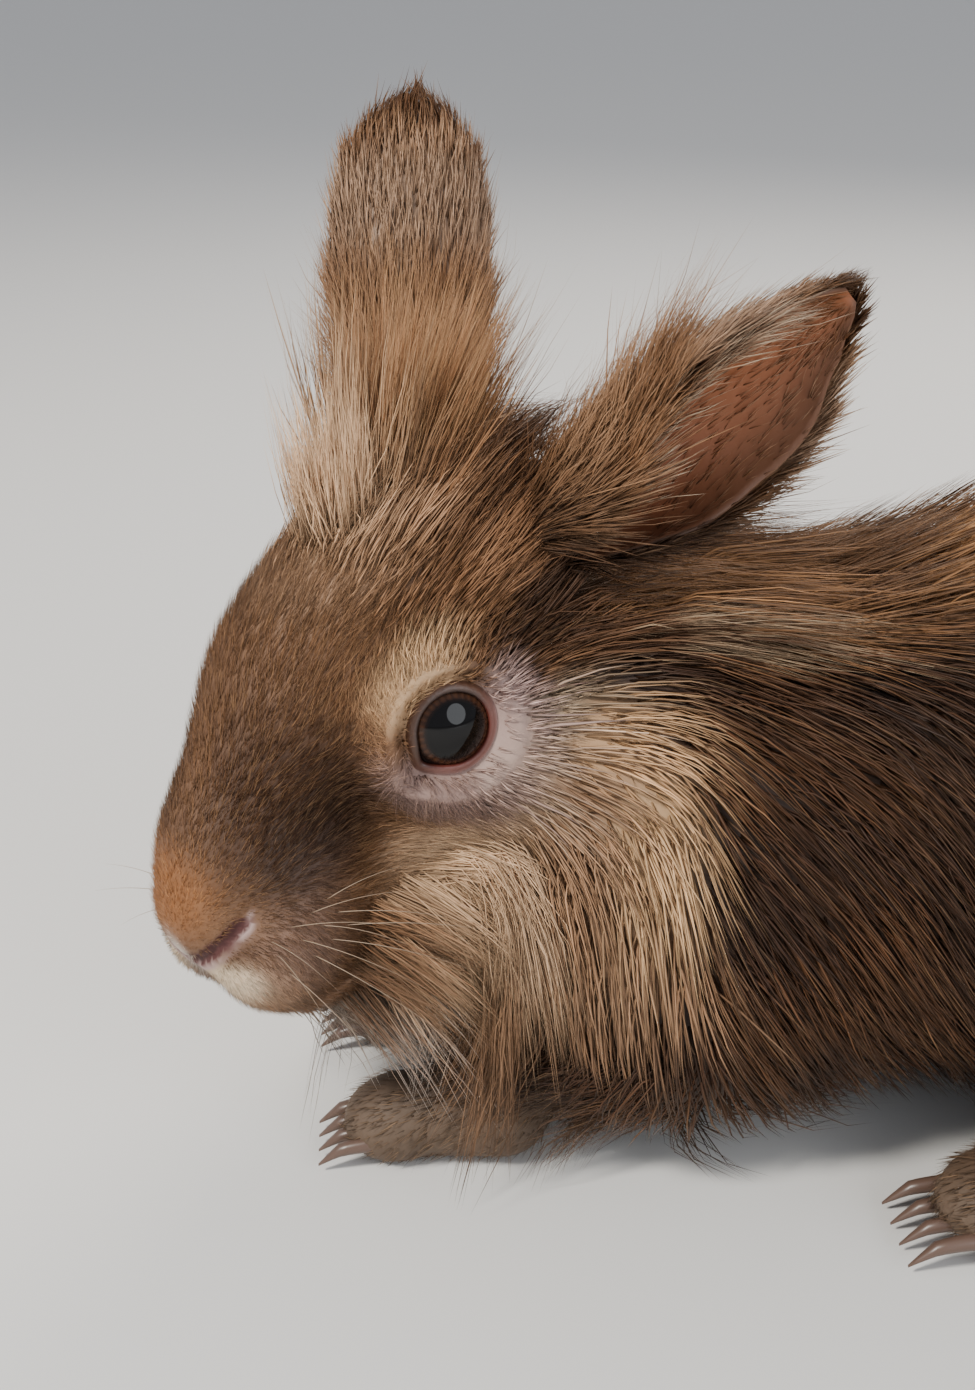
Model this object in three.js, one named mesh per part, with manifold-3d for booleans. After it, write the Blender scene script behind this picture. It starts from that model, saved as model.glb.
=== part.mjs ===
// A lionhead rabbit, life size, as a still model. It crouches on the floor with its head
// lowered and turned a little to its left, its right ear upright and its left ear laid back.
// Millimetres, +Z up. The nose points to -Y and the animal's left side is +X.
// Head, body and limbs are smooth unions of named masses. Where two nodes meet, one is cut
// by the other's own surface moved out by a small gap, so they stand face to face.

import * as THREE from "three";
import { ConvexGeometry } from "three/addons/geometries/ConvexGeometry.js";
import { mergeVertices } from "three/addons/utils/BufferGeometryUtils.js";
import Module from "manifold-3d";

const wasm = await Module();
wasm.setup();

// Driving dimensions

const GAP = 0.3; // kept between nodes that meet
const WELD = 1e-3; // vertices closer than this are one
const HEAD_AT = [10, -90, 79.5]; // midpoint between the eyes
const HEAD_PITCH = 23.5; // degrees, nose down
const HEAD_YAW = 38; // degrees, towards the animal's left
const HEAD_ROLL = 4; // degrees, left side up
const EYE_RADIUS = 8.2;
const EYE_AT = [15.4, 0, 0];
const EYE_AXIS = [0.95, -0.27, 0.12];
const EYE_OPENING = [11.6, 10.6]; // length and height between the lids
const LID_THICKNESS = 1.3;
const EAR_WALL = 3; // with its short fur
const EAR_ROOT = [16.5, 34, 18];
const NAPE = [0, -30, 104]; // the cut between neck and torso runs from here
const BREAST = [0, -68, 38]; // to here

const rad = THREE.MathUtils.degToRad;
const vec = (x, y, z) => new THREE.Vector3(x, y, z);
const across = ([x, y, z]) => [-x, y, z];
const mix = (a, b, t) => a + (b - a) * t;

// Where the head is

const headMatrix = new THREE.Matrix4().makeRotationZ(rad(HEAD_YAW))
  .multiply(new THREE.Matrix4().makeRotationX(rad(HEAD_PITCH)))
  .multiply(new THREE.Matrix4().makeRotationY(rad(-HEAD_ROLL)))
  .setPosition(...HEAD_AT);
const headInverse = headMatrix.clone().invert();
const identity = new THREE.Matrix4();

// Masses of the head, in its own frame: x left, y back, z up, from the midpoint between the eyes

const headMasses = [
  { at: [0, 14, 4], radii: [24, 30, 27] }, // cranium and its wool
  { at: [0, -5, 9], radii: [17.5, 21, 17], blend: 10 }, // forehead
  { at: [0, -21, -0.5], radii: [13, 21.5, 13.5], pitch: 14, blend: 10 }, // bridge
  { at: [0, -29, -12], radii: [13, 16, 12.5], blend: 10 }, // muzzle
  { at: [0, -40.5, -11.5], radii: [8.6, 6, 7], blend: 5 }, // nose
  { at: [7.4, -35, -19.5], radii: [9.2, 10.8, 9.3], blend: 6, pair: true }, // upper lip
  { at: [0, -26, -31], radii: [9.5, 14, 7.5], blend: 7 }, // chin
  { at: [0, -10, -23], radii: [15, 24, 13], blend: 12 }, // jaw
  { at: [14, 10, -12], radii: [14, 22, 19], blend: 12, pair: true }, // cheek
  { at: [16, 0, 1], radii: [8, 12, 11], blend: 8, pair: true }, // around the eye
  { at: [0, 20, -14], radii: [22, 20, 20], blend: 12 }, // angle of the jaw
  { at: [14, 27, 15], radii: [9, 10, 9], blend: 8, pair: true }, // ear base
  { at: EYE_AT, radii: Array(3).fill(EYE_RADIUS + LID_THICKNESS), blend: 2, pair: true }, // lids
];

// Masses of the body and limbs, in the animal's own frame

const bodyMasses = [
  { at: [0, -16, 54], radii: [43, 54, 45] }, // ribcage
  { at: [27, -38, 46], radii: [20, 30, 35], blend: 16, pair: true }, // shoulder
  { at: [0, -54, 46], radii: [26, 24, 30], blend: 16 }, // breast
  { at: [0, -46, 70], radii: [31, 27, 28], blend: 16 }, // neck root
  { at: [5, -62, 72], radii: [20, 21, 22], blend: 12 }, // neck
  { at: [0, 30, 57], radii: [52, 58, 51], blend: 20 }, // belly
  { at: [0, 54, 67], radii: [40, 50, 45], blend: 20 }, // loin
  { at: [0, 78, 58], radii: [48, 44, 50], blend: 18 }, // rump
  { at: [43, 60, 45], radii: [25, 44, 36], pitch: 12, blend: 12, pair: true }, // thigh
];
const thighCut = { at: [52, 58, 38], radii: [22, 48, 40], pitch: 12 };
const tailMasses = [
  { at: [0, 124, 38], radii: [15, 13, 18], pitch: -20 },
  { at: [0, 130, 48], radii: [12, 10, 13], blend: 8 }, // tip, turned up
];
const forelegMasses = [{ at: [25, -48, 29], to: [18, -73, 14], radii: [14, 9] }];
const forepawMasses = [
  { at: [18, -71, 8.5], to: [17, -86, 7], radii: [9.5, 8] },
  { at: [17, -90, 6], radii: [8.5, 8, 7], blend: 4 },
];
const hindfootMasses = [
  { at: [48, 84, 9], to: [47, 20, 8.5], radii: [10.5, 11] },
  { at: [46, 8, 7.5], radii: [12, 16, 9], blend: 8 },
];

// Fields: negative inside, about a distance in millimetres

const smoothMin = (a, b, k) => {
  const h = Math.max(k - Math.abs(a - b), 0) / k;
  return Math.min(a, b) - h * h * k * 0.25;
};

function ellipsoidField({ at, radii, pitch = 0 }) {
  const turn = new THREE.Matrix4().makeRotationX(rad(pitch)).setPosition(...at).invert();
  const [a, b, c] = radii;
  const q = vec(0, 0, 0);
  return (p) => {
    q.copy(p).applyMatrix4(turn);
    const near = Math.hypot(q.x / a, q.y / b, q.z / c);
    const slope = Math.hypot(q.x / (a * a), q.y / (b * b), q.z / (c * c));
    return slope < 1e-9 ? -Math.min(a, b, c) : (near * (near - 1)) / slope;
  };
}

// A rod whose radius runs from one value to the other

function rodField({ at, to, radii }) {
  const start = vec(...at);
  const run = vec(...to).sub(start);
  const q = vec(0, 0, 0);
  return (p) => {
    q.copy(p).sub(start);
    const t = THREE.MathUtils.clamp(q.dot(run) / run.lengthSq(), 0, 1);
    return q.addScaledVector(run, -t).length() - mix(radii[0], radii[1], t);
  };
}

const mirrored = (mass) => ({ ...mass, at: across(mass.at), to: mass.to && across(mass.to) });

function fieldOf(masses) {
  const parts = masses
    .flatMap((mass) => (mass.pair ? [mass, mirrored(mass)] : [mass]))
    .map((mass) => [mass.to ? rodField(mass) : ellipsoidField(mass), mass.blend ?? 10]);
  return (p) => parts.reduce((d, [f, k]) => (d === null ? f(p) : smoothMin(d, f(p), k)), null);
}

const headLocal = fieldOf(headMasses);
const headPoint = vec(0, 0, 0);
const headField = (p) => headLocal(headPoint.copy(p).applyMatrix4(headInverse));
const bodyField = fieldOf(bodyMasses);

function slopeOf(field, p, step = 0.4) {
  const at = (x, y, z) => field(vec(p.x + x, p.y + y, p.z + z));
  return vec(
    at(step, 0, 0) - at(-step, 0, 0),
    at(0, step, 0) - at(0, -step, 0),
    at(0, 0, step) - at(0, 0, -step),
  ).divideScalar(2 * step);
}

// Meshing: one vertex in each cell that the surface crosses, then moved on to the surface.
// The grid's lines may stand closer where a form is finer.

const spaced = (from, to, step) => {
  const n = Math.ceil((to - from) / step);
  return Array.from({ length: n + 1 }, (_, i) => mix(from, to, i / n));
};

function gridAround(masses, step) {
  const box = new THREE.Box3();
  for (const { at, to = at, radii } of masses)
    for (const point of [at, to]) {
      const reach = vec(...point);
      box.expandByPoint(reach.clone().addScalar(Math.max(...radii)));
      box.expandByPoint(reach.addScalar(-Math.max(...radii)));
    }
  box.expandByScalar(1.5 * step);
  return ["x", "y", "z"].map((axis) => spaced(box.min[axis], box.max[axis], step));
}

function surfaceOf(field, [xs, ys, zs]) {
  const [nx, ny, nz] = [xs.length, ys.length, zs.length];
  const at = (i, j, k) => (i * ny + j) * nz + k;
  const value = new Float32Array(nx * ny * nz);
  xs.forEach((x, i) => ys.forEach((y, j) => zs.forEach((z, k) => {
    value[at(i, j, k)] = field(vec(x, y, z));
  })));
  const corners = [0, 1, 2, 3, 4, 5, 6, 7].map((c) => [c & 1, (c >> 1) & 1, c >> 2]);
  const edges = corners.flatMap((_, a) => [1, 2, 4].filter((b) => !(a & b)).map((b) => [a, a | b]));
  const vertexOf = new Map();
  const places = [];

  const placeIn = (i, j, k) => {
    const v = corners.map(([a, b, c]) => value[at(i + a, j + b, k + c)]);
    const crossed = edges.filter(([a, b]) => v[a] < 0 !== v[b] < 0);
    if (!crossed.length) return;
    const sum = vec(0, 0, 0);
    for (const [a, b] of crossed) {
      const t = v[a] / (v[a] - v[b]);
      const line = (grid, o, axis) =>
        mix(grid[o + corners[a][axis]], grid[o + corners[b][axis]], t);
      sum.add(vec(line(xs, i, 0), line(ys, j, 1), line(zs, k, 2)));
    }
    const p = sum.divideScalar(crossed.length);
    for (let round = 0; round < 2; round++) {
      const slope = slopeOf(field, p);
      p.addScaledVector(slope, -field(p) / Math.max(slope.lengthSq(), 0.25));
    }
    vertexOf.set(at(i, j, k), places.length);
    places.push(p);
  };
  for (let i = 0; i + 1 < nx; i++)
    for (let j = 0; j + 1 < ny; j++)
      for (let k = 0; k + 1 < nz; k++) placeIn(i, j, k);

  const faces = [];
  const quad = (a, b, c, d, flip) => {
    const shortAC = places[a].distanceTo(places[c]) <= places[b].distanceTo(places[d]);
    const two = shortAC ? [a, b, c, a, c, d] : [b, c, d, b, d, a];
    faces.push(...(flip ? two.reverse() : two));
  };
  for (let i = 1; i + 1 < nx; i++)
    for (let j = 1; j + 1 < ny; j++)
      for (let k = 1; k + 1 < nz; k++) {
        const inside = value[at(i, j, k)] < 0;
        const cell = (a, b, c) => vertexOf.get(at(i - a, j - b, k - c));
        if (inside !== value[at(i + 1, j, k)] < 0)
          quad(cell(0, 1, 1), cell(0, 0, 1), cell(0, 0, 0), cell(0, 1, 0), !inside);
        if (inside !== value[at(i, j + 1, k)] < 0)
          quad(cell(1, 0, 1), cell(1, 0, 0), cell(0, 0, 0), cell(0, 0, 1), !inside);
        if (inside !== value[at(i, j, k + 1)] < 0)
          quad(cell(1, 1, 0), cell(0, 1, 0), cell(0, 0, 0), cell(1, 0, 0), !inside);
      }
  return new THREE.BufferGeometry().setFromPoints(places).setIndex(faces);
}

// Solids

function solidOf(geometry) {
  const bare = new THREE.BufferGeometry();
  bare.setAttribute("position", geometry.getAttribute("position"));
  if (geometry.index) bare.setIndex(geometry.index);
  const merged = mergeVertices(bare, WELD);
  const solid = new wasm.Manifold(new wasm.Mesh({
    numProp: 3,
    vertProperties: new Float32Array(merged.attributes.position.array),
    triVerts: new Uint32Array(merged.index.array),
  }));
  if (solid.volume() < 0) throw new Error("a solid is inside out");
  return solid;
}

// The same surface with every face moved out by the gap

function grown(geometry, distance = GAP) {
  const place = geometry.getAttribute("position");
  const index = geometry.index.array;
  const point = (i) => vec().fromBufferAttribute(place, i);
  const normals = Array.from({ length: place.count }, () => vec(0, 0, 0));
  const touching = normals.map(() => []);
  for (let f = 0; f < index.length; f += 3) {
    const [a, b, c] = [index[f], index[f + 1], index[f + 2]];
    const face = point(b).sub(point(a)).cross(point(c).sub(point(a)));
    const unit = face.clone().normalize();
    for (const i of [a, b, c]) {
      normals[i].add(face);
      touching[i].push(unit);
    }
  }
  const moved = normals.map((n, i) => {
    n.normalize();
    const least = Math.min(...touching[i].map((unit) => unit.dot(n)));
    return point(i).addScaledVector(n, distance / Math.max(least, 0.5));
  });
  return new THREE.BufferGeometry().setFromPoints(moved).setIndex([...index]);
}

function geometryOf(solid) {
  const { numVert, numProp, vertProperties, triVerts } = solid.getMesh();
  const places = Array.from({ length: numVert }, (_, i) =>
    vec(...vertProperties.subarray(i * numProp, i * numProp + 3)));
  const geometry = new THREE.BufferGeometry().setFromPoints(places).setIndex([...triVerts]);
  geometry.computeVertexNormals();
  return geometry;
}

const largest = (solid) =>
  solid.decompose().reduce((best, one) => (one.volume() > best.volume() ? one : best));

// The largest body that is left once vertices closer than the weld are one

const oneBody = (solid) => largest(solidOf(geometryOf(largest(solid))));

const HUGE = 900;
const boxSolid = (matrix) => solidOf(new THREE.BoxGeometry(HUGE, HUGE, HUGE).applyMatrix4(matrix));
const aboveFloor = boxSolid(new THREE.Matrix4().makeTranslation(0, 0, HUGE / 2));

// Everything beyond a plane through a point, in the direction given

function beyond(point, direction) {
  const turn = new THREE.Quaternion().setFromUnitVectors(vec(0, 0, 1), direction);
  const middle = point.clone().addScaledVector(direction, HUGE / 2);
  return boxSolid(new THREE.Matrix4().compose(middle, turn, vec(1, 1, 1)));
}

function ballGeometry({ at, radii, pitch = 0 }, columns, rows) {
  return mergeVertices(new THREE.SphereGeometry(1, columns, rows).deleteAttribute("uv")
    .deleteAttribute("normal")
    .rotateX(Math.PI / 2)
    .scale(...radii)
    .rotateX(rad(pitch))
    .translate(...at), 1e-5);
}

// A closed skin over rings of points. Each ring runs out along one side and back along the
// other, so its two halves pair off across the cap.

function loft(rings, matrix = identity) {
  const n = rings[0].length;
  const faces = [];
  for (let r = 0; r + 1 < rings.length; r++)
    for (let i = 0; i < n; i++) {
      const [a, b] = [r * n + i, r * n + ((i + 1) % n)];
      faces.push(a, b, b + n, a, b + n, a + n);
    }
  const last = (rings.length - 1) * n;
  for (let i = 0; i < n / 2 - 1; i++) {
    const [a, b, c, d] = [i, i + 1, n - 2 - i, n - 1 - i];
    faces.push(a, d, c, a, c, b);
    faces.push(last + a, last + b, last + c, last + a, last + c, last + d);
  }
  return new THREE.BufferGeometry().setFromPoints(rings.flat()).setIndex(faces).applyMatrix4(matrix);
}

// A chain of convex spans between rings of points

const chain = (rings, matrix = identity) => rings.slice(1)
  .map((ring, i) => solidOf(new ConvexGeometry([...rings[i], ...ring]).applyMatrix4(matrix)))
  .reduce((whole, span) => whole.add(span));

// The value of a table at a share of its length

const stations = (table, t) => {
  const i = Math.min(Math.max(table.findIndex(([s]) => s >= t), 1), table.length - 1);
  const [[s0, ...a], [s1, ...b]] = [table[i - 1], table[i]];
  const u = THREE.MathUtils.smoothstep(t, s0, s1) * 0.4 + ((t - s0) / (s1 - s0)) * 0.6;
  return a.map((v, j) => mix(v, b[j], u));
};

// An ear: a curved shell, rolled into a tube at the root and opening to a shallow cup.
// At each share of its length: half width of the roll, half angle of the arc in degrees,
// wall thickness as a share.

const earShape = [
  [0, 7.5, 150, 1],
  [0.14, 9, 138, 1],
  [0.3, 11.5, 104, 0.95],
  [0.5, 14, 76, 0.85],
  [0.7, 13.4, 66, 0.8],
  [0.86, 11.4, 58, 0.75],
  [0.96, 7.4, 52, 0.65],
  [1, 3.4, 46, 0.6],
];
const EAR_RINGS = 11;
const EAR_STEPS = 9; // points along each side of a ring

function earGeometry({ root, up, opening, length, bend, width, tip }, grow = 0) {
  const z = vec(...up).normalize();
  const o = vec(...opening).addScaledVector(z, -vec(...opening).dot(z)).normalize();
  const side = o.clone().cross(z);
  const rings = Array.from({ length: EAR_RINGS }, (_, r) => {
    const t = (r / (EAR_RINGS - 1)) ** 0.9;
    const [share, angle, wall] = stations(earShape, t);
    const half = share * width * mix(1, tip, THREE.MathUtils.smoothstep(t, 0.6, 1));
    const phi = rad(angle);
    const radius = half / Math.sin(Math.min(phi, Math.PI / 2));
    const spine = vec(...root).applyMatrix4(headMatrix)
      .addScaledVector(z, t * (length + grow))
      .addScaledVector(o, bend * t * t);
    const arc = (i, offset) => {
      const alpha = mix(-phi, phi, i / (EAR_STEPS - 1)) * (1 + grow / half / 2);
      const far = radius + offset;
      return spine.clone()
        .addScaledVector(o, radius - far * Math.cos(alpha))
        .addScaledVector(side, far * Math.sin(alpha));
    };
    const thick = (EAR_WALL * wall) / 2 + grow;
    const steps = Array.from({ length: EAR_STEPS }, (_, i) => i);
    return [...steps.map((i) => arc(i, thick)), ...steps.reverse().map((i) => arc(i, -thick))];
  });
  return loft(rings);
}

// Directions in the animal's frame: the left ear is laid back, the right one stands up

const ears = {
  left: {
    root: EAR_ROOT, up: [0.02, 0.75, 0.66], opening: [0.58, -0.33, -0.74],
    length: 49, bend: 8, width: 1, tip: 0.55,
  },
  right: {
    root: across(EAR_ROOT), up: [-0.41, 0.02, 0.91], opening: [-0.96, -0.1, -0.28],
    length: 57, bend: 0.9, width: 0.88, tip: 1,
  },
};

// Creases of the face: grooves with a V section, along points in the head's frame that are
// first moved on to its surface

const nostrilLine = [[2, -47, -14.2], [4.8, -45.8, -13], [7.8, -43, -10.8], [10.2, -39.8, -8.8]];
const nostril = { along: nostrilLine, width: 1.7, depth: 1.8 };
const lipCleft = { along: [[0, -47.5, -15], [0, -46.5, -19], [0, -44, -24.5]], width: 1.3, depth: 1.1 };
const mouthLine = { along: [[0, -44, -24.5], [5, -41.5, -26.8], [9, -35, -28]], width: 1.3, depth: 1.4 };
const creases = [{ ...nostril, pair: true }, lipCleft, { ...mouthLine, pair: true }];

function creaseSolids({ along, width, depth, pair }) {
  const drawn = pair ? [along, along.map(across)] : [along];
  return drawn.map((line) => {
    const points = line.map((point) => {
      const p = vec(...point);
      for (let round = 0; round < 3; round++)
        p.addScaledVector(slopeOf(headLocal, p).normalize(), -headLocal(p));
      return p;
    });
    const last = points.length - 1;
    const rings = points.map((p, i) => {
      const ahead = points[Math.min(i + 1, last)].clone().sub(points[Math.max(i - 1, 0)]).normalize();
      const normal = slopeOf(headLocal, p).normalize();
      const side = normal.clone().cross(ahead).normalize();
      const end = i % last === 0 ? 0.5 : 1;
      const open = p.clone().addScaledVector(normal, depth);
      return [
        open.clone().addScaledVector(side, width * end),
        open.clone().addScaledVector(side, -width * end),
        p.clone().addScaledVector(normal, -depth * end),
      ];
    });
    return chain(rings, headMatrix);
  });
}

// Claws: four on each foot, short curved cones side by side

const CLAWS = 4;
const CLAW_SIDES = 5;
const CLAW_SPLAY = 0.06;
const clawRadii = [1.4, 1.3, 0.5];
const foreClaws = { middle: 17, spread: 3.6, line: [[-91, 5.2], [-97.5, 3.9], [-101, 1.7]] };
const hindClaws = { middle: 46, spread: 4.6, line: [[-1, 5.6], [-8.5, 4.2], [-12.5, 1.8]] };

function clawSolid(x, lean, line) {
  const points = line.map(([y, z], i) => vec(x + lean * i, y, z));
  const last = points.length - 1;
  const rings = points.map((p, i) => {
    const ahead = points[Math.min(i + 1, last)].clone().sub(points[Math.max(i - 1, 0)]).normalize();
    const side = vec(1, 0, 0);
    const up = side.clone().cross(ahead);
    return Array.from({ length: CLAW_SIDES }, (_, k) => {
      const turn = (2 * Math.PI * k) / CLAW_SIDES;
      return p.clone()
        .addScaledVector(side, clawRadii[i] * Math.cos(turn))
        .addScaledVector(up, clawRadii[i] * Math.sin(turn));
    });
  });
  return chain(rings);
}

// The mane. Each row of locks grows from a ring round the head or the neck: angles run from 0
// below the chin through 90 on the left side to 180 at the crown. A lock first follows its
// flow, a mix of backwards, outwards and down, then droops, and stays clear of the coat below.

const LOCK_SPAN = 12.6; // about the length between two rings of a lock
const ROOT_TRIES = 9;
const WIDEST = 90; // no coat lies farther than this from the middle of a ring
const HALVINGS = 24;
const LOCK_THICKNESS = 2.4;
const LOCK_GAP = 0.5; // kept round a lock that passes another node
const LOWEST_TIP = 2.5;
const LOCK_SINK = 3.5; // depth of the root in the node it grows from
const lockWidth = [[0, 0.6], [0.25, 1], [0.5, 0.95], [0.75, 0.66], [0.92, 0.3], [1, 0.1]];
const lockDepth = [[0, 1], [0.5, 0.9], [0.8, 0.55], [1, 0.2]];
const down = vec(0, 0, -1);

const foreMasses = [...forelegMasses, ...forepawMasses];
const legField = fieldOf(foreMasses.map((mass) => ({ ...mass, pair: true })));
const coatField = (p) => Math.min(smoothMin(headField(p), bodyField(p), 4), legField(p));
const headRing = { matrix: headMatrix, height: -6, field: headField, forward: -1.5 };
const neckRing = {
  matrix: new THREE.Matrix4().makeRotationX(rad(-30)).setPosition(3, -51, 70),
  height: 0,
  field: bodyField,
  forward: 1.5,
};

// flow and bend are [back, out, down]: where a lock first points, and what it turns towards

const foreFlow = { flow: [0.3, 0.4, -0.9], bend: [0.2, 0, 0], over: 4 };
const crownFlow = { flow: [0.6, 0.5, -0.7], bend: [0.6, 0, 0], over: 5 };
const templeFlow = { flow: [0.9, 0.25, -0.6], bend: [0.4, 0, 0], over: 3, pair: true };
const cheekFlow = { flow: [1, 0.6, 0.3], bend: [0, 0, 1.1], pair: true };
const jawFlow = { flow: [0.7, 0.7, 0.8], bend: [0, 0, 0.8], over: 4, pair: true };
const beardFlow = { flow: [0.4, 1, 0.8], bend: [0.2, 0, 0.4], over: 3 };
const ruffFlow = { flow: [1, 0.4, 0.1], bend: [0, 0, 0.7], over: 1.6 };
const headRows = [
  { y: 3, from: 164, to: 196, count: 4, length: 20, width: 9, ...foreFlow },
  { y: 12, from: 160, to: 200, count: 4, length: 27, width: 11, ...crownFlow },
  { y: 21, from: 170, to: 190, count: 2, length: 28, width: 11, ...crownFlow },
  { y: 9, from: 124, to: 146, count: 2, length: 20, width: 9, ...templeFlow },
  { y: 10, from: 46, to: 112, count: 5, length: 36, width: 11, ...cheekFlow, over: 3.4 },
  { y: 20, from: 44, to: 114, count: 4, length: 44, width: 12, ...cheekFlow, over: 6.4 },
  { y: 0, from: 20, to: 44, count: 2, length: 36, width: 11, ...jawFlow },
  { y: -12, from: -12, to: 12, count: 2, length: 27, width: 9, ...beardFlow },
  { y: 2, from: -12, to: 12, count: 2, length: 34, width: 11, ...beardFlow },
];
const neckRows = [
  { y: -9, from: -162, to: 180, count: 13, length: 35, width: 15, ...ruffFlow },
  { y: -3, from: -150, to: 168, count: 11, length: 38, width: 16, ...ruffFlow },
];

let seed = 7;
function random() {
  seed = (seed + 0x6d2b79f5) | 0;
  let t = Math.imul(seed ^ (seed >>> 15), 1 | seed);
  t = (t + Math.imul(t ^ (t >>> 7), 61 | t)) ^ t;
  return ((t ^ (t >>> 14)) >>> 0) / 4294967296;
}
const vary = (share) => 1 + share * (2 * random() - 1);

// Where a ray from the middle of a ring leaves the coat. Where another node covers the ring's
// own, the root moves along the ring's axis until it is bare, or the lock is left out.

function rootOn(ring, y, angle) {
  const spoke = vec(Math.sin(angle), 0, -Math.cos(angle));
  for (let tries = 0; tries < ROOT_TRIES; tries++) {
    const middle = vec(0, y + tries * ring.forward, ring.height).applyMatrix4(ring.matrix);
    const out = spoke.clone().transformDirection(ring.matrix);
    let [inside, outside] = [0, WIDEST];
    for (let i = 0; i < HALVINGS; i++) {
      const half = (inside + outside) / 2;
      if (coatField(middle.clone().addScaledVector(out, half)) < 0) inside = half;
      else outside = half;
    }
    const root = middle.addScaledVector(out, inside);
    if (ring.field(root) < 1) return { root, out };
  }
  return null;
}

function planRow(ring, row) {
  const back = vec(0, 1, 0).transformDirection(ring.matrix);
  const locks = [];
  for (const sign of row.pair ? [1, -1] : [1])
    for (let i = 0; i < row.count; i++) {
      const share = (i + 0.3 * (random() - 0.5)) / (row.count - 1);
      const angle = sign * rad(mix(row.from, row.to, share));
      const found = rootOn(ring, row.y + 4 * (random() - 0.5), angle);
      const [stray, twist] = [0.4 * (random() - 0.5), 0.4 * (random() - 0.5)];
      const [length, width, bend] = [row.length * vary(0.2), row.width * vary(0.2), vary(0.3)];
      if (!found) continue;
      const { root, out } = found;
      const toward = (parts) => vec(0, 0, 0)
        .addScaledVector(back, parts[0])
        .addScaledVector(out, parts[1])
        .addScaledVector(down, parts[2]);
      const aside = out.clone().cross(back).normalize();
      locks.push({
        root, out, length, width, twist,
        flow: toward(row.flow).addScaledVector(aside, stray).normalize(),
        bend: toward(row.bend).multiplyScalar(bend),
        over: row.over + (i % 2) * (LOCK_THICKNESS + 0.4),
      });
    }
  return locks;
}

function pathOf({ root, out, flow, bend, length, over }) {
  const spans = Math.max(2, Math.round(length / LOCK_SPAN));
  const points = [
    root.clone().addScaledVector(out, -LOCK_SINK),
    root.clone().addScaledVector(out, LOCK_THICKNESS / 2),
  ];
  const heading = flow.clone();
  for (let i = 1; i <= spans; i++) {
    const p = points[i].clone().addScaledVector(heading, length / spans);
    const clear = LOCK_THICKNESS / 2 + mix(1, over, Math.min(1, (2 * i) / spans));
    for (let round = 0; round < 2; round++) {
      const lack = clear - coatField(p);
      if (lack > 0) p.addScaledVector(slopeOf(coatField, p).normalize(), lack);
    }
    p.z = Math.max(p.z, LOWEST_TIP);
    heading.copy(p).sub(points[i]).normalize().addScaledVector(bend, 1 / spans).normalize();
    points.push(p);
  }
  return points;
}

// A lock is a chain between flat diamond sections

function lockSolid(lock, grow = 0) {
  const points = pathOf(lock);
  const last = points.length - 1;
  const ringAt = (i, longer = 0) => {
    const [p, t] = [points[i], i / last];
    const ahead = points[Math.min(i + 1, last)].clone().sub(points[Math.max(i - 1, 0)]).normalize();
    const up = i < 2 ? lock.out : slopeOf(coatField, p);
    const middle = p.clone().addScaledVector(ahead, longer);
    const side = up.clone().cross(ahead).normalize().applyAxisAngle(ahead, lock.twist * t);
    const normal = ahead.clone().cross(side).normalize();
    const half = (lock.width * stations(lockWidth, t)[0]) / 2 + grow;
    const deep = (LOCK_THICKNESS * stations(lockDepth, t)[0]) / 2 + grow;
    return [
      middle.clone().addScaledVector(side, half),
      middle.clone().addScaledVector(normal, deep),
      middle.clone().addScaledVector(side, -half),
      middle.clone().addScaledVector(normal, -deep),
    ];
  };
  const rings = points.map((_, i) => ringAt(i));
  return chain(grow ? [ringAt(0, -grow), ...rings, ringAt(last, grow)] : rings);
}

// Assembly

const group = new THREE.Group();
const COAT = 0x7a5c42;
const addNode = (name, solid, colour = COAT, roughness = 0.9) => {
  const material = new THREE.MeshStandardMaterial({ color: colour, roughness, metalness: 0 });
  const mesh = new THREE.Mesh(geometryOf(solid), material);
  mesh.name = name;
  group.add(mesh);
};

const headGrid = [
  spaced(-37, 37, 4.2),
  [...spaced(-54, -27, 3.2), ...spaced(-22.5, 18, 4.8), ...spaced(24, 54, 8)],
  [...spaced(-48, -27, 5), ...spaced(-24, -6, 3.1), ...spaced(-1.5, 43, 5.4)],
];
const headSkin = surfaceOf(headLocal, headGrid).applyMatrix4(headMatrix);
const bodyGrid = [spaced(-82, 82, 11.4), spaced(-107, 139, 12.2), spaced(-12, 138, 11.2)];
const bodySkin = surfaceOf(bodyField, bodyGrid);
const grownHead = solidOf(grown(headSkin));
const grownBody = solidOf(grown(bodySkin));

const plan = (ring, rows) => rows.flatMap((row) => planRow(ring, row));
const headLocks = plan(headRing, headRows);
const neckLocks = plan(neckRing, neckRows);
const grownLocks = (locks) => locks.map((lock) => lockSolid(lock, LOCK_GAP));
const grownHeadLocks = grownLocks(headLocks);
const grownNeckLocks = grownLocks(neckLocks);
const withLocks = (solid, locks) =>
  locks.reduce((sum, lock) => sum.add(lockSolid(lock)), solid);
const meets = (a, b) => {
  const [p, q] = [a.boundingBox(), b.boundingBox()];
  return [0, 1, 2].every((i) => p.min[i] < q.max[i] && q.min[i] < p.max[i]);
};
const clearOf = (solid, cutters) =>
  cutters.flat().reduce((rest, one) => (meets(rest, one) ? rest.subtract(one) : rest), solid);

// Eyes and the holes they look through

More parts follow.
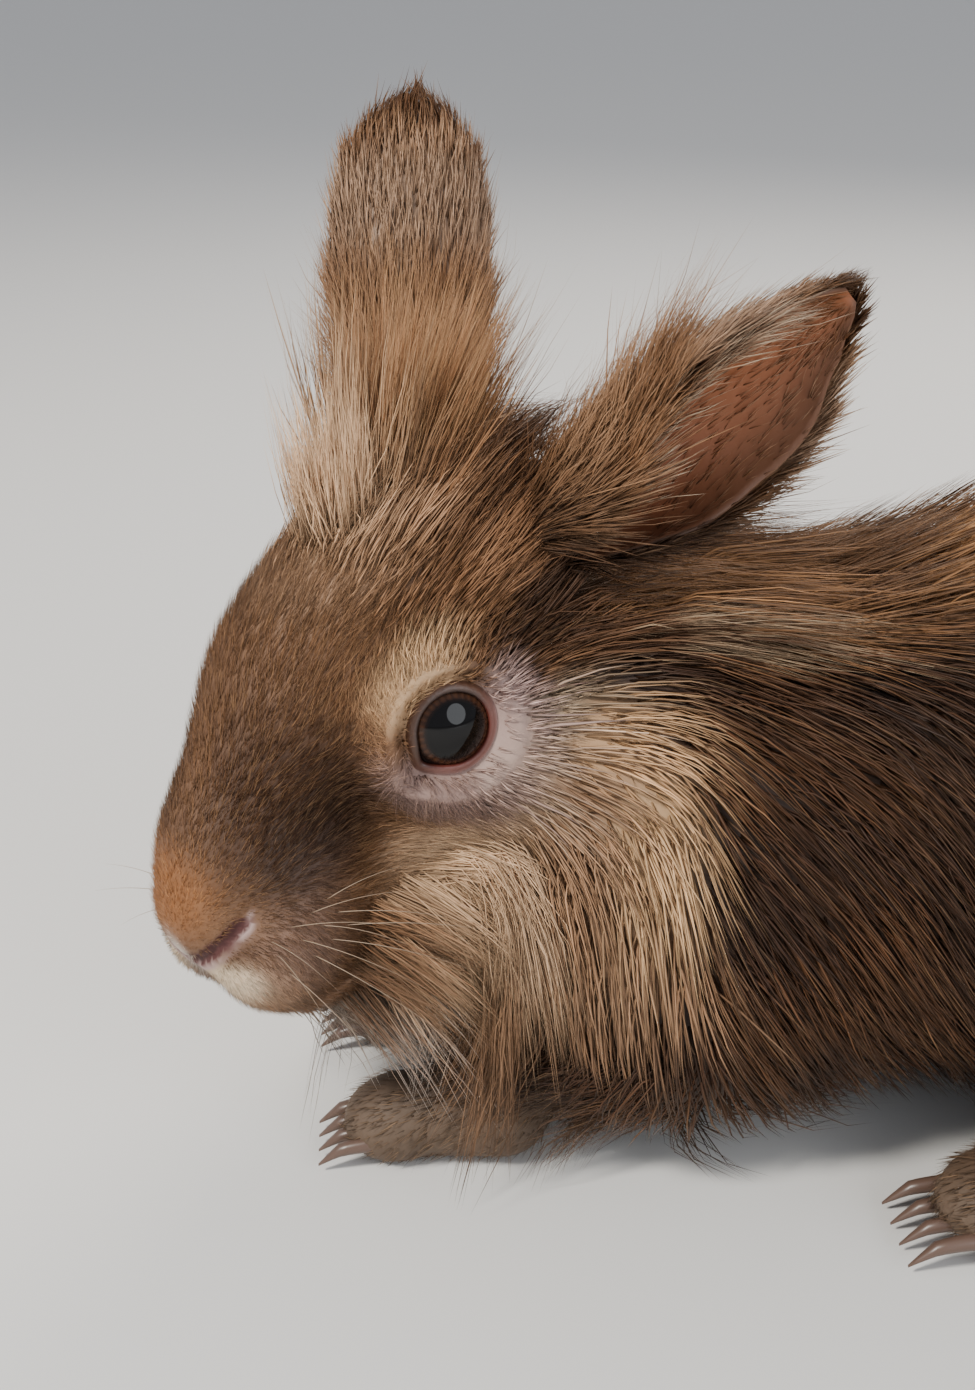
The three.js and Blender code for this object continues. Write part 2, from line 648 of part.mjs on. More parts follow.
const sides = ["left", "right"];
const forSide = (side, point) => (side === "left" ? point : across(point));
const grownEars = Object.values(ears).map((ear) => solidOf(earGeometry(ear, GAP)));
const sockets = [];
for (const side of sides) {
  const at = forSide(side, EYE_AT);
  const eye = ballGeometry({ at, radii: Array(3).fill(EYE_RADIUS) }, 14, 8);
  addNode(`eye_${side}`, solidOf(eye.clone().applyMatrix4(headMatrix)), 0x17100e, 0.08);
  const axis = vec(...forSide(side, EYE_AXIS)).normalize();
  const slit = new THREE.CylinderGeometry(1, 1, 1, 18).rotateX(Math.PI / 2).translate(0, 0, 0.5)
    .scale(EYE_OPENING[0] / 2, EYE_OPENING[1] / 2, 30);
  const turn = new THREE.Matrix4().lookAt(vec(0, 0, 0), axis.clone().negate(), vec(0, 0, 1))
    .setPosition(...at);
  sockets.push(solidOf(grown(eye).applyMatrix4(headMatrix)));
  sockets.push(solidOf(slit.applyMatrix4(turn).applyMatrix4(headMatrix)));
}
const faceCuts = [sockets, grownEars, creases.flatMap(creaseSolids)];
addNode("head", oneBody(clearOf(withLocks(solidOf(headSkin), headLocks), faceCuts)));

// Ears stand on the head

for (const [side, ear] of Object.entries(ears))
  addNode(`ear_${side}`, oneBody(clearOf(solidOf(earGeometry(ear)), [grownHead, grownBody])));

// Neck, torso and thighs share one surface

const bodySolid = solidOf(bodySkin).intersect(aboveFloor);
const cutAlong = vec(...BREAST).sub(vec(...NAPE)).normalize();
const neckWards = vec(-1, 0, 0).cross(cutAlong).normalize();
const torsoWards = neckWards.clone().negate();
const halfGap = GAP / 2;
const neckSide = beyond(vec(...NAPE).addScaledVector(neckWards, halfGap), neckWards);
const torsoSide = beyond(vec(...NAPE).addScaledVector(torsoWards, halfGap), torsoWards);
const neckCore = bodySolid.intersect(neckSide);
const overNeck = [grownHead, grownHeadLocks, grownEars];
addNode("neck", oneBody(clearOf(withLocks(neckCore, neckLocks), overNeck)));

const overBody = [...overNeck, grownNeckLocks];
let torso = bodySolid.intersect(torsoSide);
for (const side of sides) {
  const cutter = ballGeometry({ ...thighCut, at: forSide(side, thighCut.at) }, 16, 10);
  addNode(`hindleg_${side}`, oneBody(bodySolid.intersect(solidOf(cutter))));
  torso = torso.subtract(solidOf(grown(cutter)));
}
addNode("torso", oneBody(clearOf(torso, overBody)));

// Limbs, claws and tail

function clawsOf({ middle, spread, line }, side) {
  const sign = side === "left" ? 1 : -1;
  return Array.from({ length: CLAWS }, (_, i) => {
    const aside = (i - (CLAWS - 1) / 2) * spread;
    return clawSolid(sign * (middle + aside), sign * aside * CLAW_SPLAY, line);
  });
}

function addLimb(name, masses, step, cutters, claws) {
  const skin = surfaceOf(fieldOf(masses), gridAround(masses, step));
  const whole = claws.reduce((sum, claw) => sum.add(claw), solidOf(skin).intersect(aboveFloor));
  addNode(name, oneBody(clearOf(whole, [grownBody, ...cutters])));
  return solidOf(grown(skin));
}
addLimb("tail", tailMasses, 7, [], []);
for (const side of sides) {
  const own = (masses) => (side === "left" ? masses : masses.map(mirrored));
  const grownPaw = addLimb(`forepaw_${side}`, own(forepawMasses), 5.8, overBody, clawsOf(foreClaws, side));
  addLimb(`foreleg_${side}`, own(forelegMasses), 7, [grownPaw, ...overBody], []);
  addLimb(`hindfoot_${side}`, own(hindfootMasses), 9, [], clawsOf(hindClaws, side));
}

// The origin is the centre of the whole at floor level

const box = new THREE.Box3().setFromObject(group);
const centre = box.getCenter(vec(0, 0, 0));
for (const mesh of group.children) mesh.geometry.translate(-centre.x, -centre.y, 0);

export default group;
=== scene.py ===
# A lionhead rabbit, life size, crouched with its head low and turned a little to its left.
# One skin lies under the coat. The coat is many thin solid tufts that follow its lie, with the
# long fur of forelock, cheeks, beard and ruff combed in locks. All shapes are worked out in
# millimetres in the animal's own frame, +Z up, nose to -Y, the animal's left side +X. The head
# has a turned frame of its own, with its middle between the eyes. Places in it are called q.

import math

import bpy
import numpy as np
from mathutils import Matrix, Vector
from mathutils.kdtree import KDTree


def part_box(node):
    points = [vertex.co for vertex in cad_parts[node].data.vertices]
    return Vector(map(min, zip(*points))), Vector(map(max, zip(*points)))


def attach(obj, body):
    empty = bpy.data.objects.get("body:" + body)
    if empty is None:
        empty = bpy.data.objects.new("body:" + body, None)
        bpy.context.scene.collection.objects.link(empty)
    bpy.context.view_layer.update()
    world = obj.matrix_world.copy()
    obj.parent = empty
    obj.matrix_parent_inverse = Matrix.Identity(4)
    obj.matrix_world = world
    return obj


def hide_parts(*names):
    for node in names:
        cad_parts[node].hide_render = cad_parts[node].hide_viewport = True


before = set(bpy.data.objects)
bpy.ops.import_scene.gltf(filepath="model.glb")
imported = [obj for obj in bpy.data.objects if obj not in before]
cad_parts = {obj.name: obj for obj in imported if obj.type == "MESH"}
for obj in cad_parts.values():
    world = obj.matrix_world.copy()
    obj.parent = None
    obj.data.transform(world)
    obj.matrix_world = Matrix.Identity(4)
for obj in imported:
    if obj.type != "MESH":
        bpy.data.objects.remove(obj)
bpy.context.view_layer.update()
rng = np.random.default_rng(20)
MM = 0.001
QUICK = 1.0  # share of the tufts that are drawn

# Sizes and places as in the solids. Only the eye's opening is wider, by about half a millimetre.

HEAD_AT = np.array([10.0, -90.0, 79.5])  # midpoint between the eyes
HEAD_PITCH, HEAD_YAW, HEAD_ROLL = 23.5, 38, 4
EYE_RADIUS = 8.2
EYE_AT = np.array([15.4, 0.0, 0.0])
EYE_AXIS = np.array([0.95, -0.27, 0.12])
EYE_ROUND = 5.8  # radius of the round part of the opening between the lids
EYE_CORNER = 7.8  # from its middle to its front corner
CORNER_ANGLE = 203  # degrees, where the back is 0 and up is 90
CORNER_SOFTNESS = 0.12  # radians
BROW_TILT = math.radians(15)  # between up at the eye and up in the head
NOSTRIL_HALF, CLEFT_HALF, MOUTH_HALF = 0.95, 0.62, 0.8  # half widths of these lines
SKIN_FLOOR = 0.6  # the skin's height above the floor

# Steps of the grids on which the skin is found and the coat is combed

SKIN_FINE, SKIN_COARSE = 1.0, 3.4
COMB_STEP = 2.5

# The coat

BODY_HAIR = 22
SKIN_SHADE = 0.7  # beside the coat that grows on it
MOST = 190000  # triangles in one piece
SECTION = np.array([(1, -0.3), (-1, -0.3), (0, 0.7)])  # of a tuft, across and up
MAP_EDGE, MAP_SPAN = 0.02, 0.96  # where the coat's flat map starts, and its side
MAP_AXIS, MAP_START, MAP_LENGTH = 50, -140, 290  # height, start and length of the axis it is wound round
PATCH = 0.003  # side of a tuft's own place on the flat map
STRANDS = 400  # rows of the streaks' pattern, of which each tuft takes one
ROOT_DEEP = 0.6  # how far a root stands in the skin
LOCK_REACH = 9  # how far from its guide a lock's hair may grow
LOCK_ROOT = 0.8  # shade of a lock's roots
FLOOR_GAP, LOCK_FLOOR_GAP = 1.5, 1.2  # least height above the floor
LOCK_SKIN_GAP = 0.5  # least height of a lock's hair above the skin
PAW_GAP = 1.5  # least distance of a long hair from the paws


def turned(axis, degrees):
    return np.array(Matrix.Rotation(math.radians(degrees), 3, axis))


HEAD_TURN = turned("Z", HEAD_YAW) @ turned("X", HEAD_PITCH) @ turned("Y", -HEAD_ROLL)


def to_head(p):
    return (p - HEAD_AT) @ HEAD_TURN


def from_head(q):
    return q @ HEAD_TURN.T + HEAD_AT


def mass(at, radii, blend=10, pitch=0, pair=False, to=None):
    """An ellipsoid, or a limb with two radii that runs on to another place. blend rounds its joint."""
    one = {"at": np.array(at, float), "radii": radii, "blend": blend, "pitch": pitch, "to": to}
    if not pair:
        return [one]
    flip = np.array([-1, 1, 1])
    return [one, {**one, "at": one["at"] * flip, "to": to and tuple(flip * to)}]


HEAD = sum([
    mass((0, 14, 4), (24, 30, 27)),  # cranium and its wool
    mass((0, -5, 9), (17.5, 21, 17)),  # forehead
    mass((0, -21, -0.5), (13, 21.5, 13.5), pitch=14),  # bridge
    mass((0, -29, -12), (13, 16, 12.5)),  # muzzle
    mass((0, -40.5, -11.5), (8.6, 6, 7), 5),  # nose
    mass((7.4, -35, -19.5), (9.2, 10.8, 9.3), 6, pair=True),  # upper lip
    mass((0, -26, -31), (9.5, 14, 7.5), 7),  # chin
    mass((0, -10, -23), (15, 24, 13), 12),  # jaw
    mass((14, 10, -12), (14, 22, 19), 12, pair=True),  # cheek
    mass((16, 0, 1), (8, 12, 11), 8, pair=True),  # around the eye
    mass((0, 20, -14), (22, 20, 20), 12),  # angle of the jaw
    mass((14, 27, 15), (9, 10, 9), 8, pair=True),  # ear base
    mass(EYE_AT, (9.5, 9.5, 9.5), 2, pair=True),  # lids
], [])
BODY = sum([
    mass((0, -16, 54), (43, 54, 45)),  # ribcage
    mass((27, -38, 46), (20, 30, 35), 16, pair=True),  # shoulder
    mass((0, -54, 46), (26, 24, 30), 16),  # breast
    mass((0, -46, 70), (31, 27, 28), 16),  # neck root
    mass((5, -62, 72), (20, 21, 22), 12),  # neck
    mass((0, 30, 57), (52, 58, 51), 20),  # belly
    mass((0, 54, 67), (40, 50, 45), 20),  # loin
    mass((0, 78, 58), (48, 44, 50), 18),  # rump
    mass((43, 60, 45), (25, 44, 36), 12, 12, pair=True),  # thigh
], [])
TAIL = mass((0, 124, 38), (15, 13, 18), pitch=-20) + mass((0, 130, 48), (12, 10, 13), 8)
FORELEGS = mass((25, -48, 29), (14, 9), to=(18, -73, 14), pair=True)
FOREPAWS = sum([
    mass((18, -71, 8.5), (9.5, 8), to=(17, -86, 7), pair=True),
    mass((17, -90, 6), (8.5, 8, 7), 4, pair=True),
], [])
HINDFEET = sum([
    mass((48, 84, 9), (10.5, 11), to=(47, 20, 8.5), pair=True),
    mass((46, 8, 7.5), (12, 16, 9), 8, pair=True),
], [])
CLAWS = {  # middle, spread, line of (y, z)
    "fore": (17, 3.6, ((-91, 5.2), (-97.5, 3.9), (-101, 1.7))),
    "hind": (46, 4.6, ((-1, 5.6), (-8.5, 4.2), (-12.5, 1.8))),
}
CLAW_RADII = (1.4, 1.15, 0.22)  # at the claw's root, at its bend and at its tip
CLAW_BEND = 0.62  # share of the claw's length
CLAW_ARCH, CLAW_SPLAY = 0.5, 0.06
CLAW_COUNT, CLAW_SIDES, CLAW_RINGS = 4, 12, 9
WHISKER_RADIUS = 0.08
WHISKER_SIDES, WHISKER_RINGS = 5, 10
WHISKER_LENGTHS, WHISKER_DROOP = (14, 24), 3

# Fields: negative inside, about a distance in millimetres


def smooth_min(a, b, k):
    h = np.maximum(k - np.abs(a - b), 0) / k
    return np.minimum(a, b) - h * h * k * 0.25


def ramp(low, high, x):
    """0 before low, 1 beyond high, and smooth between them."""
    t = np.clip((x - low) / (high - low), 0, 1)
    return t * t * (3 - 2 * t)


def mass_field(one, p):
    q = p - one["at"]
    if one["to"] is not None:
        run = np.array(one["to"], float) - one["at"]
        t = np.clip(q @ run / (run @ run), 0, 1)
        r0, r1 = one["radii"]
        return np.linalg.norm(q - t[:, None] * run, axis=1) - (r0 + (r1 - r0) * t)
    if one["pitch"]:
        q = q @ turned("X", one["pitch"])
    radii = np.array(one["radii"], float)
    near = np.linalg.norm(q / radii, axis=1)
    steep = np.maximum(np.linalg.norm(q / radii**2, axis=1), 1e-9)
    return near * (near - 1) / steep


def field(masses, p):
    d = mass_field(masses[0], p)
    for one in masses[1:]:
        d = smooth_min(d, mass_field(one, p), one["blend"])
    return d


def unit(v):
    return v / np.maximum(np.linalg.norm(v, axis=-1, keepdims=True), 1e-9)


def on_left(q):
    return np.concatenate([np.abs(q[:, :1]), q[:, 1:]], 1)


def eye_distance(q):
    return np.linalg.norm(on_left(q) - EYE_AT, axis=1)


eye_out = unit(EYE_AXIS)
eye_back = unit(np.cross([0, 0, 1], eye_out))
EYE_AXES = np.stack([eye_out, eye_back, np.cross(eye_out, eye_back)])


def round_eye(q):
    """The angle from the opening's middle, and the angle round it."""
    v = (on_left(q) - EYE_AT) @ EYE_AXES.T
    return np.arctan2(np.hypot(v[:, 1], v[:, 2]), v[:, 0]), np.arctan2(v[:, 2], v[:, 1])


def opening_reach(turn):
    """From the middle of the opening to its edge, along the ball: round, with a front corner."""
    wedge = math.acos(EYE_ROUND / EYE_CORNER)
    off = np.abs((turn - math.radians(CORNER_ANGLE) + math.pi) % (2 * math.pi) - math.pi)
    off = np.sqrt(off**2 + CORNER_SOFTNESS**2)
    return EYE_ROUND / np.cos(np.maximum(wedge - off, 0))


def from_opening(q):
    """Millimetres from the edge of the lids, along the ball, negative between them."""
    off, turn = round_eye(q)
    return off * EYE_RADIUS - opening_reach(turn)


def from_lids(p):
    return from_opening(to_head(p))


def from_line(q, points):
    """Millimetres from the line through these points."""
    d = np.full(len(q), 1e3)
    for a, b in zip(points[:-1], points[1:]):
        run = b - a
        t = np.clip((q - a) @ run / (run @ run), 0, 1)
        d = np.minimum(d, np.linalg.norm(q - a - t[:, None] * run, axis=1))
    return d


def head_depth(q):
    """How far the skin lies under the tips of the short coat of the head."""
    eye = ramp(8.5, 17, eye_distance(q))
    back = ramp(-46, 8, q[:, 1])
    return 0.15 + eye * (0.5 + 2.2 * back)


def body_depth(p):
    back = ramp(-70, -20, p[:, 1])
    low = ramp(4, 26, p[:, 2])
    return 2.5 + 5.0 * back * (0.4 + 0.6 * low)


NOSTRIL = np.array([[2, -47, -14.2], [4.8, -45.8, -13], [7.8, -43, -10.8], [10.2, -39.8, -8.8]])
CLEFT = np.array([[0, -47.5, -15], [0, -46.5, -19], [0, -44, -24.5]])
MOUTH = np.array([[0, -44, -24.5], [5, -41.5, -26.8], [9, -35, -28], [12, -28, -28]])


def head_skin(q):
    return field(HEAD, q) + head_depth(q)


def slope(f, p, step=0.3):
    """The direction in which a field grows fastest."""
    return unit(np.stack([(f(p + e) - f(p - e)) / (2 * step) for e in np.eye(3) * step], 1))


def on_head(points):
    """These points, moved on to the skin of the head."""
    p = np.array(points, float)
    for _ in range(4):
        p = p - slope(head_skin, p) * head_skin(p)[:, None]
    return p


nostril, cleft, mouth = on_head(NOSTRIL), on_head(CLEFT), on_head(MOUTH)


def from_face_lines(q):
    """Millimetres from the slit of the nostril, the cleft of the lip and the line of the mouth."""
    side = on_left(q)
    return [from_line(side, line) for line in (nostril, cleft, mouth)]


def skin_field(p):
    """The skin, with nostrils, the cleft of the lip, the line of the mouth and holes for the eyes."""
    q = to_head(p)
    slit, crease, lips = from_face_lines(q)
    cut = np.minimum(np.minimum(slit - NOSTRIL_HALF, crease - CLEFT_HALF), lips - MOUTH_HALF)
    socket = np.minimum(eye_distance(q) - EYE_RADIUS - 0.1, from_opening(q) - 1.4)
    head = np.maximum(head_skin(q), -np.minimum(cut, socket))
    body = field(BODY, p) + body_depth(p)
    d = smooth_min(head, body, 7)
    for masses, depth in ((FORELEGS, 2.0), (FOREPAWS, 1.2), (HINDFEET, 1.4), (TAIL, 6.0)):
        d = smooth_min(d, field(masses, p) + depth, 5)
    return np.maximum(d, SKIN_FLOOR - p[:, 2])


# The skin: one vertex in each cell that the surface crosses, then moved on to the surface

CORNERS = [(i, j, k) for i in (0, 1) for j in (0, 1) for k in (0, 1)]


def lines(*spans):
    out = [np.linspace(a, b, max(2, round((b - a) / step) + 1)) for a, b, step in spans]
    return np.unique(np.round(np.concatenate(out), 4))


def on_grid(f, axes, parts):
    """A field's values on a grid, worked out in parts to spare memory."""
    grid = np.stack(np.meshgrid(*axes, indexing="ij"), -1)
    values = [f(part) for part in np.array_split(grid.reshape(-1, 3), parts)]
    return np.concatenate(values).reshape(grid.shape[:3])


def surface(f, *axes):
    """Points and quads of the surface where a field is 0."""
    value = on_grid(f, axes, 24)
    inside = value < 0
    cells = tuple(n - 1 for n in value.shape)
    count = np.zeros(cells, np.int8)
    for i, j, k in CORNERS:
        count += inside[i:i + cells[0], j:j + cells[1], k:k + cells[2]]
    cell = np.argwhere((count > 0) & (count < 8))
    number = np.full(cells, -1)
    number[tuple(cell.T)] = np.arange(len(cell))
    units = np.eye(3, dtype=int)
    total, places = np.zeros((len(cell), 1)), np.zeros((len(cell), 3))
    for corner in CORNERS:
        for along in units[[not c for c in corner]]:
            ends = cell + corner, cell + corner + along
            va, vb = [value[tuple(end.T)][:, None] for end in ends]
            pa, pb = [np.stack([axis[i] for axis, i in zip(axes, end.T)], 1) for end in ends]
            crossed = (va < 0) != (vb < 0)
            t = np.where(crossed, va / np.where(crossed, va - vb, 1), 0)
            places += np.where(crossed, pa + (pb - pa) * t, 0)
            total += crossed
    p = places / total
    for _ in range(2):
        p = p - slope(f, p) * np.clip(f(p), -1, 1)[:, None]
    quads = []
    for axis in range(3):
        here, there = [slice(1, -1)] * 3, [slice(1, -1)] * 3
        there[axis] = slice(2, None)
        a, b = inside[tuple(here)], inside[tuple(there)]
        at = np.argwhere(a != b) + 1
        flip = b[tuple((at - 1).T)]
        du, dv = units[axis - 2], units[axis - 1]
        ring = np.stack([number[tuple((at - off).T)] for off in (du + dv, dv, 0 * du, du)], 1)
        ring[flip] = ring[flip][:, ::-1]
        quads.append(ring)
    return p, np.concatenate(quads)


# Where the solids stand: their centre is the origin

eye_box = np.array([list(corner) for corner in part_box("eye_left")]).mean(0) / MM
OFFSET = eye_box - from_head(EYE_AT[None])[0]

# Meshes from arrays


def linked(name, data):
    obj = bpy.data.objects.new(name, data)
    bpy.context.collection.objects.link(obj)
    return obj


def mesh_object(name, points, starts, corners, material, slot="coat", uvs=None, strand=None, colours=None):
    """A mesh in metres from points, the first corner of each face, and the points at its corners."""
    mesh = bpy.data.meshes.new(name)
    mesh.vertices.add(len(points))
    mesh.vertices.foreach_set("co", ((points + OFFSET) * MM).astype(np.float32).ravel())
    mesh.loops.add(len(corners))
    mesh.loops.foreach_set("vertex_index", corners.astype(np.int32))
    mesh.polygons.add(len(starts))
    mesh.polygons.foreach_set("loop_start", starts.astype(np.int32))
    mesh.update(calc_edges=True)
    mesh.polygons.foreach_set("use_smooth", np.full(len(starts), True))
    for layer, values in (("OFBake", uvs), ("Strand", strand)):
        if values is not None:
            mesh.uv_layers.new(name=layer)
            mesh.uv_layers[layer].data.foreach_set("uv", values.astype(np.float32).ravel())
    if colours is not None:
        rgba = np.concatenate([colours, np.ones((len(colours), 1))], 1).astype(np.float32)
        mesh.color_attributes.new("Coat", "FLOAT_COLOR", "POINT").data.foreach_set("color", rgba.ravel())
    obj = linked(name, mesh)
    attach(obj, "root")
    mesh.materials.append(material)
    return obj


def face_object(name, points, faces, material, **more):
    """A mesh from points and a list of faces."""
    starts = np.concatenate([[0], np.cumsum([len(face) for face in faces])[:-1]])
    return mesh_object(name, points, starts, np.concatenate(faces), material, **more)


def ring_quads(rings, sides):
    """Quads between rings of points that follow each other."""
    a = np.arange((rings - 1) * sides).reshape(-1, sides)
    b = np.roll(a, -1, axis=1)
    return np.stack([a, b, b + sides, a + sides], -1).reshape(-1, 4)


def unwrap(p):
    """The coat's own flat map: round the long axis of the body, and along it."""
    u = np.arctan2(p[:, 0], p[:, 2] - MAP_AXIS) / (2 * np.pi) + 0.5
    v = (p[:, 1] - MAP_START) / MAP_LENGTH
    return np.stack([MAP_EDGE + MAP_SPAN * u, MAP_EDGE + MAP_SPAN * v], 1)


# Colours, as seen, turned to linear light


def tone(r, g, b):
    c = np.array([r, g, b]) / 255
    return np.where(c < 0.04045, c / 12.92, ((c + 0.055) / 1.055) ** 2.4)


BROWN = tone(126, 90, 62)
DARK = tone(52, 34, 24)
UMBER = tone(80, 52, 32)
TAN = tone(172, 134, 102)
SAND = tone(212, 176, 140)
GOLD = tone(200, 160, 116)
CREAM = tone(248, 224, 192)
RUFOUS = tone(150, 98, 56)
GREY = tone(166, 152, 138)
PALE = tone(220, 206, 194)
LILAC = tone(182, 154, 148)


def blend(a, b, t):
    t = np.asarray(t)[..., None]
    return a * (1 - t) + b * t


NOISE_FACTORS, NOISE_MIX, NOISE_MOST = (73856093, 19349663, 83492791), 1274126177, 0xFFFF


def in_cell(f):
    """Each corner of a grid's cell, with its weight at these places in the cell."""
    for corner in CORNERS:
        wx, wy, wz = np.abs(1 - np.array(corner) - f).T
        yield corner, wx * wy * wz


def hash_noise(p, scale, seed=0):
    """Smooth noise from 0 to 1 of points in millimetres."""
    q = p / scale + seed * 17.3
    base = np.floor(q).astype(np.int64)
    f = q - base
    out = np.zeros(len(p))
    for corner, weight in in_cell(f * f * (3 - 2 * f)):
        a, b, c = ((base + corner) * NOISE_FACTORS).T
        h = a ^ b ^ c
        h = (h ^ (h >> 13)) * NOISE_MIX
        out += ((h ^ (h >> 16)) & NOISE_MOST) / NOISE_MOST * weight
    return out


def spot(q, at, radii, edge):
    """1 within an ellipsoid, 0 outside it, alike on both sides. It fades from this share outwards."""
    return 1 - ramp(edge, 1, np.linalg.norm((on_left(q) - at) / radii, axis=1))


def layered(colour, *layers):
    """A colour under others, each with its share at every point."""
    for over, share in layers:
        colour = blend(colour, over, share)
    return colour


def spots(q, rows, edge):
    return [(over, share * spot(q, at, radii, edge)) for over, share, at, radii in rows]


def under_nostril(q):
    """1 below the line of the nostrils, 0 above it."""
    return ramp(0.4, -0.6, q[:, 2] + 14.2 - 0.75 * (q[:, 1] + 47))


def head_share(p):
    """1 on the head, 0 on the body."""
    return 1 - ramp(-6, 6, field(HEAD, to_head(p)) - field(BODY, p) * 0.6)


FACE_SPOTS = (  # colour, share, place in the head's frame and radii
    (TAN, 0.85, (0, 0, 26), (26, 19, 12)),  # forehead
    (SAND, 0.8, (0, 5, 29), (15, 11, 8)),  # top of the forehead
    (UMBER, 1.0, (11, -26, 2), (15, 21, 17)),  # side of the bridge
    (DARK, 0.55, (15, -27, -4), (10, 14, 10)),  # side of the muzzle
    (tone(148, 104, 70), 1.0, (0, 22, 30), (14, 12, 10)),  # forelock
    (DARK, 0.85, (20, 27, 20), (15, 16, 15)),  # crown by the ear
    (SAND, 1.0, (20, -9, -18), (15, 19, 11)),  # below the eye: light coat, partly painted light on a side that faces away from the lamp
    (SAND, 1.0, (16, -14, -28), (13, 20, 12)),  # front of the jowl: light coat, partly painted light on a side that faces away from the lamp
    (UMBER, 0.6, (18, 10, -34), (14, 14, 9)),  # back of the jowl: darker hair, partly painted shade on the low cheek
    (CREAM, 0.85, (29, 9, -10), (16, 17, 12)),  # light band of the cheek
    (DARK, 0.85, (25, 19, 7), (13, 21, 7)),  # stripe from the eye to the ear
    (UMBER, 0.6, (26, -1, -11.5), (8, 10, 2.2)),  # dark streak under the eye
    (RUFOUS, 0.95, (0, -43, -4), (11, 9, 9)),  # nose
    (UMBER, 0.5, (16, -30, -20), (9, 10, 7)),  # whisker pad
    (TAN, 0.9, (12, -44, -19), (9, 9, 7)),  # lip
    (CREAM, 0.9, (8, -44, -17), (7, 6, 4.5)),  # under the nostril
    (PALE, 0.9, (0, -48, -16), (4, 5, 9)),  # beside the cleft
    (GREY, 0.85, (0, -23, -36), (14, 24, 8)),  # chin
)
MANE_SPOTS = (  # colour, share, place in the animal's frame and radii
    (tone(204, 162, 120), 0.85, (30, -57, 79), (12, 11, 10)),  # behind the cheek
    (tone(214, 174, 130), 0.85, (37, -51, 67), (8, 10, 14)),  # and down from there
    (TAN, 0.6, (40, -50, 52), (9, 10, 12)),  # lower still
)


def marking(p):
    """The coat's colour where it grows, for the middle of the hair, with some painted light and shade in it.
    """
    q = to_head(p)
    n1, n2 = hash_noise(p, 9, 1), hash_noise(p, 3.2, 2)
    # Light back over a darker flank: partly the coat's own colours, partly painted light on top and painted
    # shade down the side
    back = blend(tone(170, 124, 82), BROWN, ramp(0.25, 0.7, n1))
    flank_and_shade = blend(UMBER, DARK, 0.9 * ramp(0.3, 0.7, n1))
    front = ramp(-44, -58, p[:, 1]) * ramp(84, 72, p[:, 2]) * ramp(30, 50, p[:, 2])
    body = layered(
        back,
        (flank_and_shade, ramp(97, 86, p[:, 2] + 5 * (n2 - 0.5))),
        (TAN, 0.6 * front),
        *spots(p, MANE_SPOTS, 0.3),
        (BROWN, 0.6 * ramp(20, 60, p[:, 1])),
        (tone(128, 106, 86), 0.6 * ramp(24, 8, p[:, 2])),
    )
    above, off = np.sin(round_eye(q)[1] - BROW_TILT), from_opening(q)
    ring = ramp(0.8, 1.6, off) * (1 - ramp(2.6, 5.2, off)) * ramp(0.55, 0.95, above)
    before = ramp(4, -6, q[:, 1])
    near = 1 - ramp(1.4 + before, 3.4 + 2 * before, off)
    face = layered(
        BROWN,
        (UMBER, ramp(0.45, 0.8, n1) * 0.5),
        *spots(q, FACE_SPOTS, 0.35),
        (tone(216, 178, 136), 0.75 * ring),  # over the eye
        (LILAC, (0.85 - 0.25 * before) * near * (1 - ramp(0.0, 0.5, above))),  # below it and before it
    )
    return blend(body, face, head_share(p))


# A grid of the skin's distance and slope, to comb the coat by


class Comb:
    def __init__(self, f, low, high):
        axes = [np.arange(a, b + COMB_STEP, COMB_STEP) for a, b in zip(low, high)]
        d = on_grid(f, axes, 16)
        self.low = np.array(low, float)
        self.table = np.stack([d, *np.gradient(d, COMB_STEP)], -1).astype(np.float32)
        self.most = np.array(d.shape) - 2

    def __call__(self, p):
        """Distance and unit slope at each point."""
        g = (p - self.low) / COMB_STEP
        base = np.clip(np.floor(g).astype(int), 0, self.most)
        out = 0
        for corner, weight in in_cell(np.clip(g - base, 0, 1)):
            i, j, k = (base + corner).T
            out = out + self.table[i, j, k] * weight[:, None]
        return out[:, 0], unit(out[:, 1:])


NOSE_TIP = np.array([0.0, -44.5, -12.0])
DOWN = np.array([0.0, 0.0, -1.0])


def lie(p):
    """The direction in which the coat lies, before it is laid along the skin."""
    q = to_head(p)
    sign = np.where(q[:, :1] < 0, [[-1, 1, 1]], [[1, 1, 1]])
    radial = unit(q - NOSE_TIP)
    radial[:, 1] += 0.35
    away = unit(on_left(q) - EYE_AT) * sign
    near_eye = 1 - ramp(1.0, 7, from_opening(q))
    head = unit(unit(radial) * (1 - 0.5 * near_eye)[:, None] + away * 1.3 * near_eye[:, None]) @ HEAD_TURN.T
    # The hair of cheek and throat runs back, turns over in a wide arc and hangs
    swirl = ramp(160, 112, p[:, 2] - 1.17 * p[:, 1])
    head = blend(head, np.array([0, 0.15, -1.0]), swirl)
    side = ramp(101, 79, p[:, 2])
    behind = ramp(-48, -38, p[:, 1])
    turn = swirl * (1 - behind) + side * behind
    rear = ramp(10, 60, p[:, 1])
    fall = behind * (0.55 + 0.3 * rear)
    body = np.stack([0 * side, 1 - turn * (0.85 - fall * 0.9), -turn * (1 - 0.35 * rear)], 1)
    front = ramp(-60, -76, p[:, 1]) * ramp(70, 55, p[:, 2])
    body = body + front[:, None] * np.array([0, 0, -0.6])
    leg = np.minimum(field(FORELEGS, p), field(FOREPAWS, p))
    foot = 1 - ramp(0.5, 3, np.minimum(leg, field(HINDFEET, p)))
    body = blend(unit(body), np.array([0, -0.9, -0.35]), foot)
    tail = 1 - ramp(0, 10, field(TAIL, p))
    body = blend(body, np.array([0, 0.5, 0.85]), tail)
    return unit(blend(body, head, head_share(p)))


# Tufts: each is a thin solid blade with three sides, a few steps long


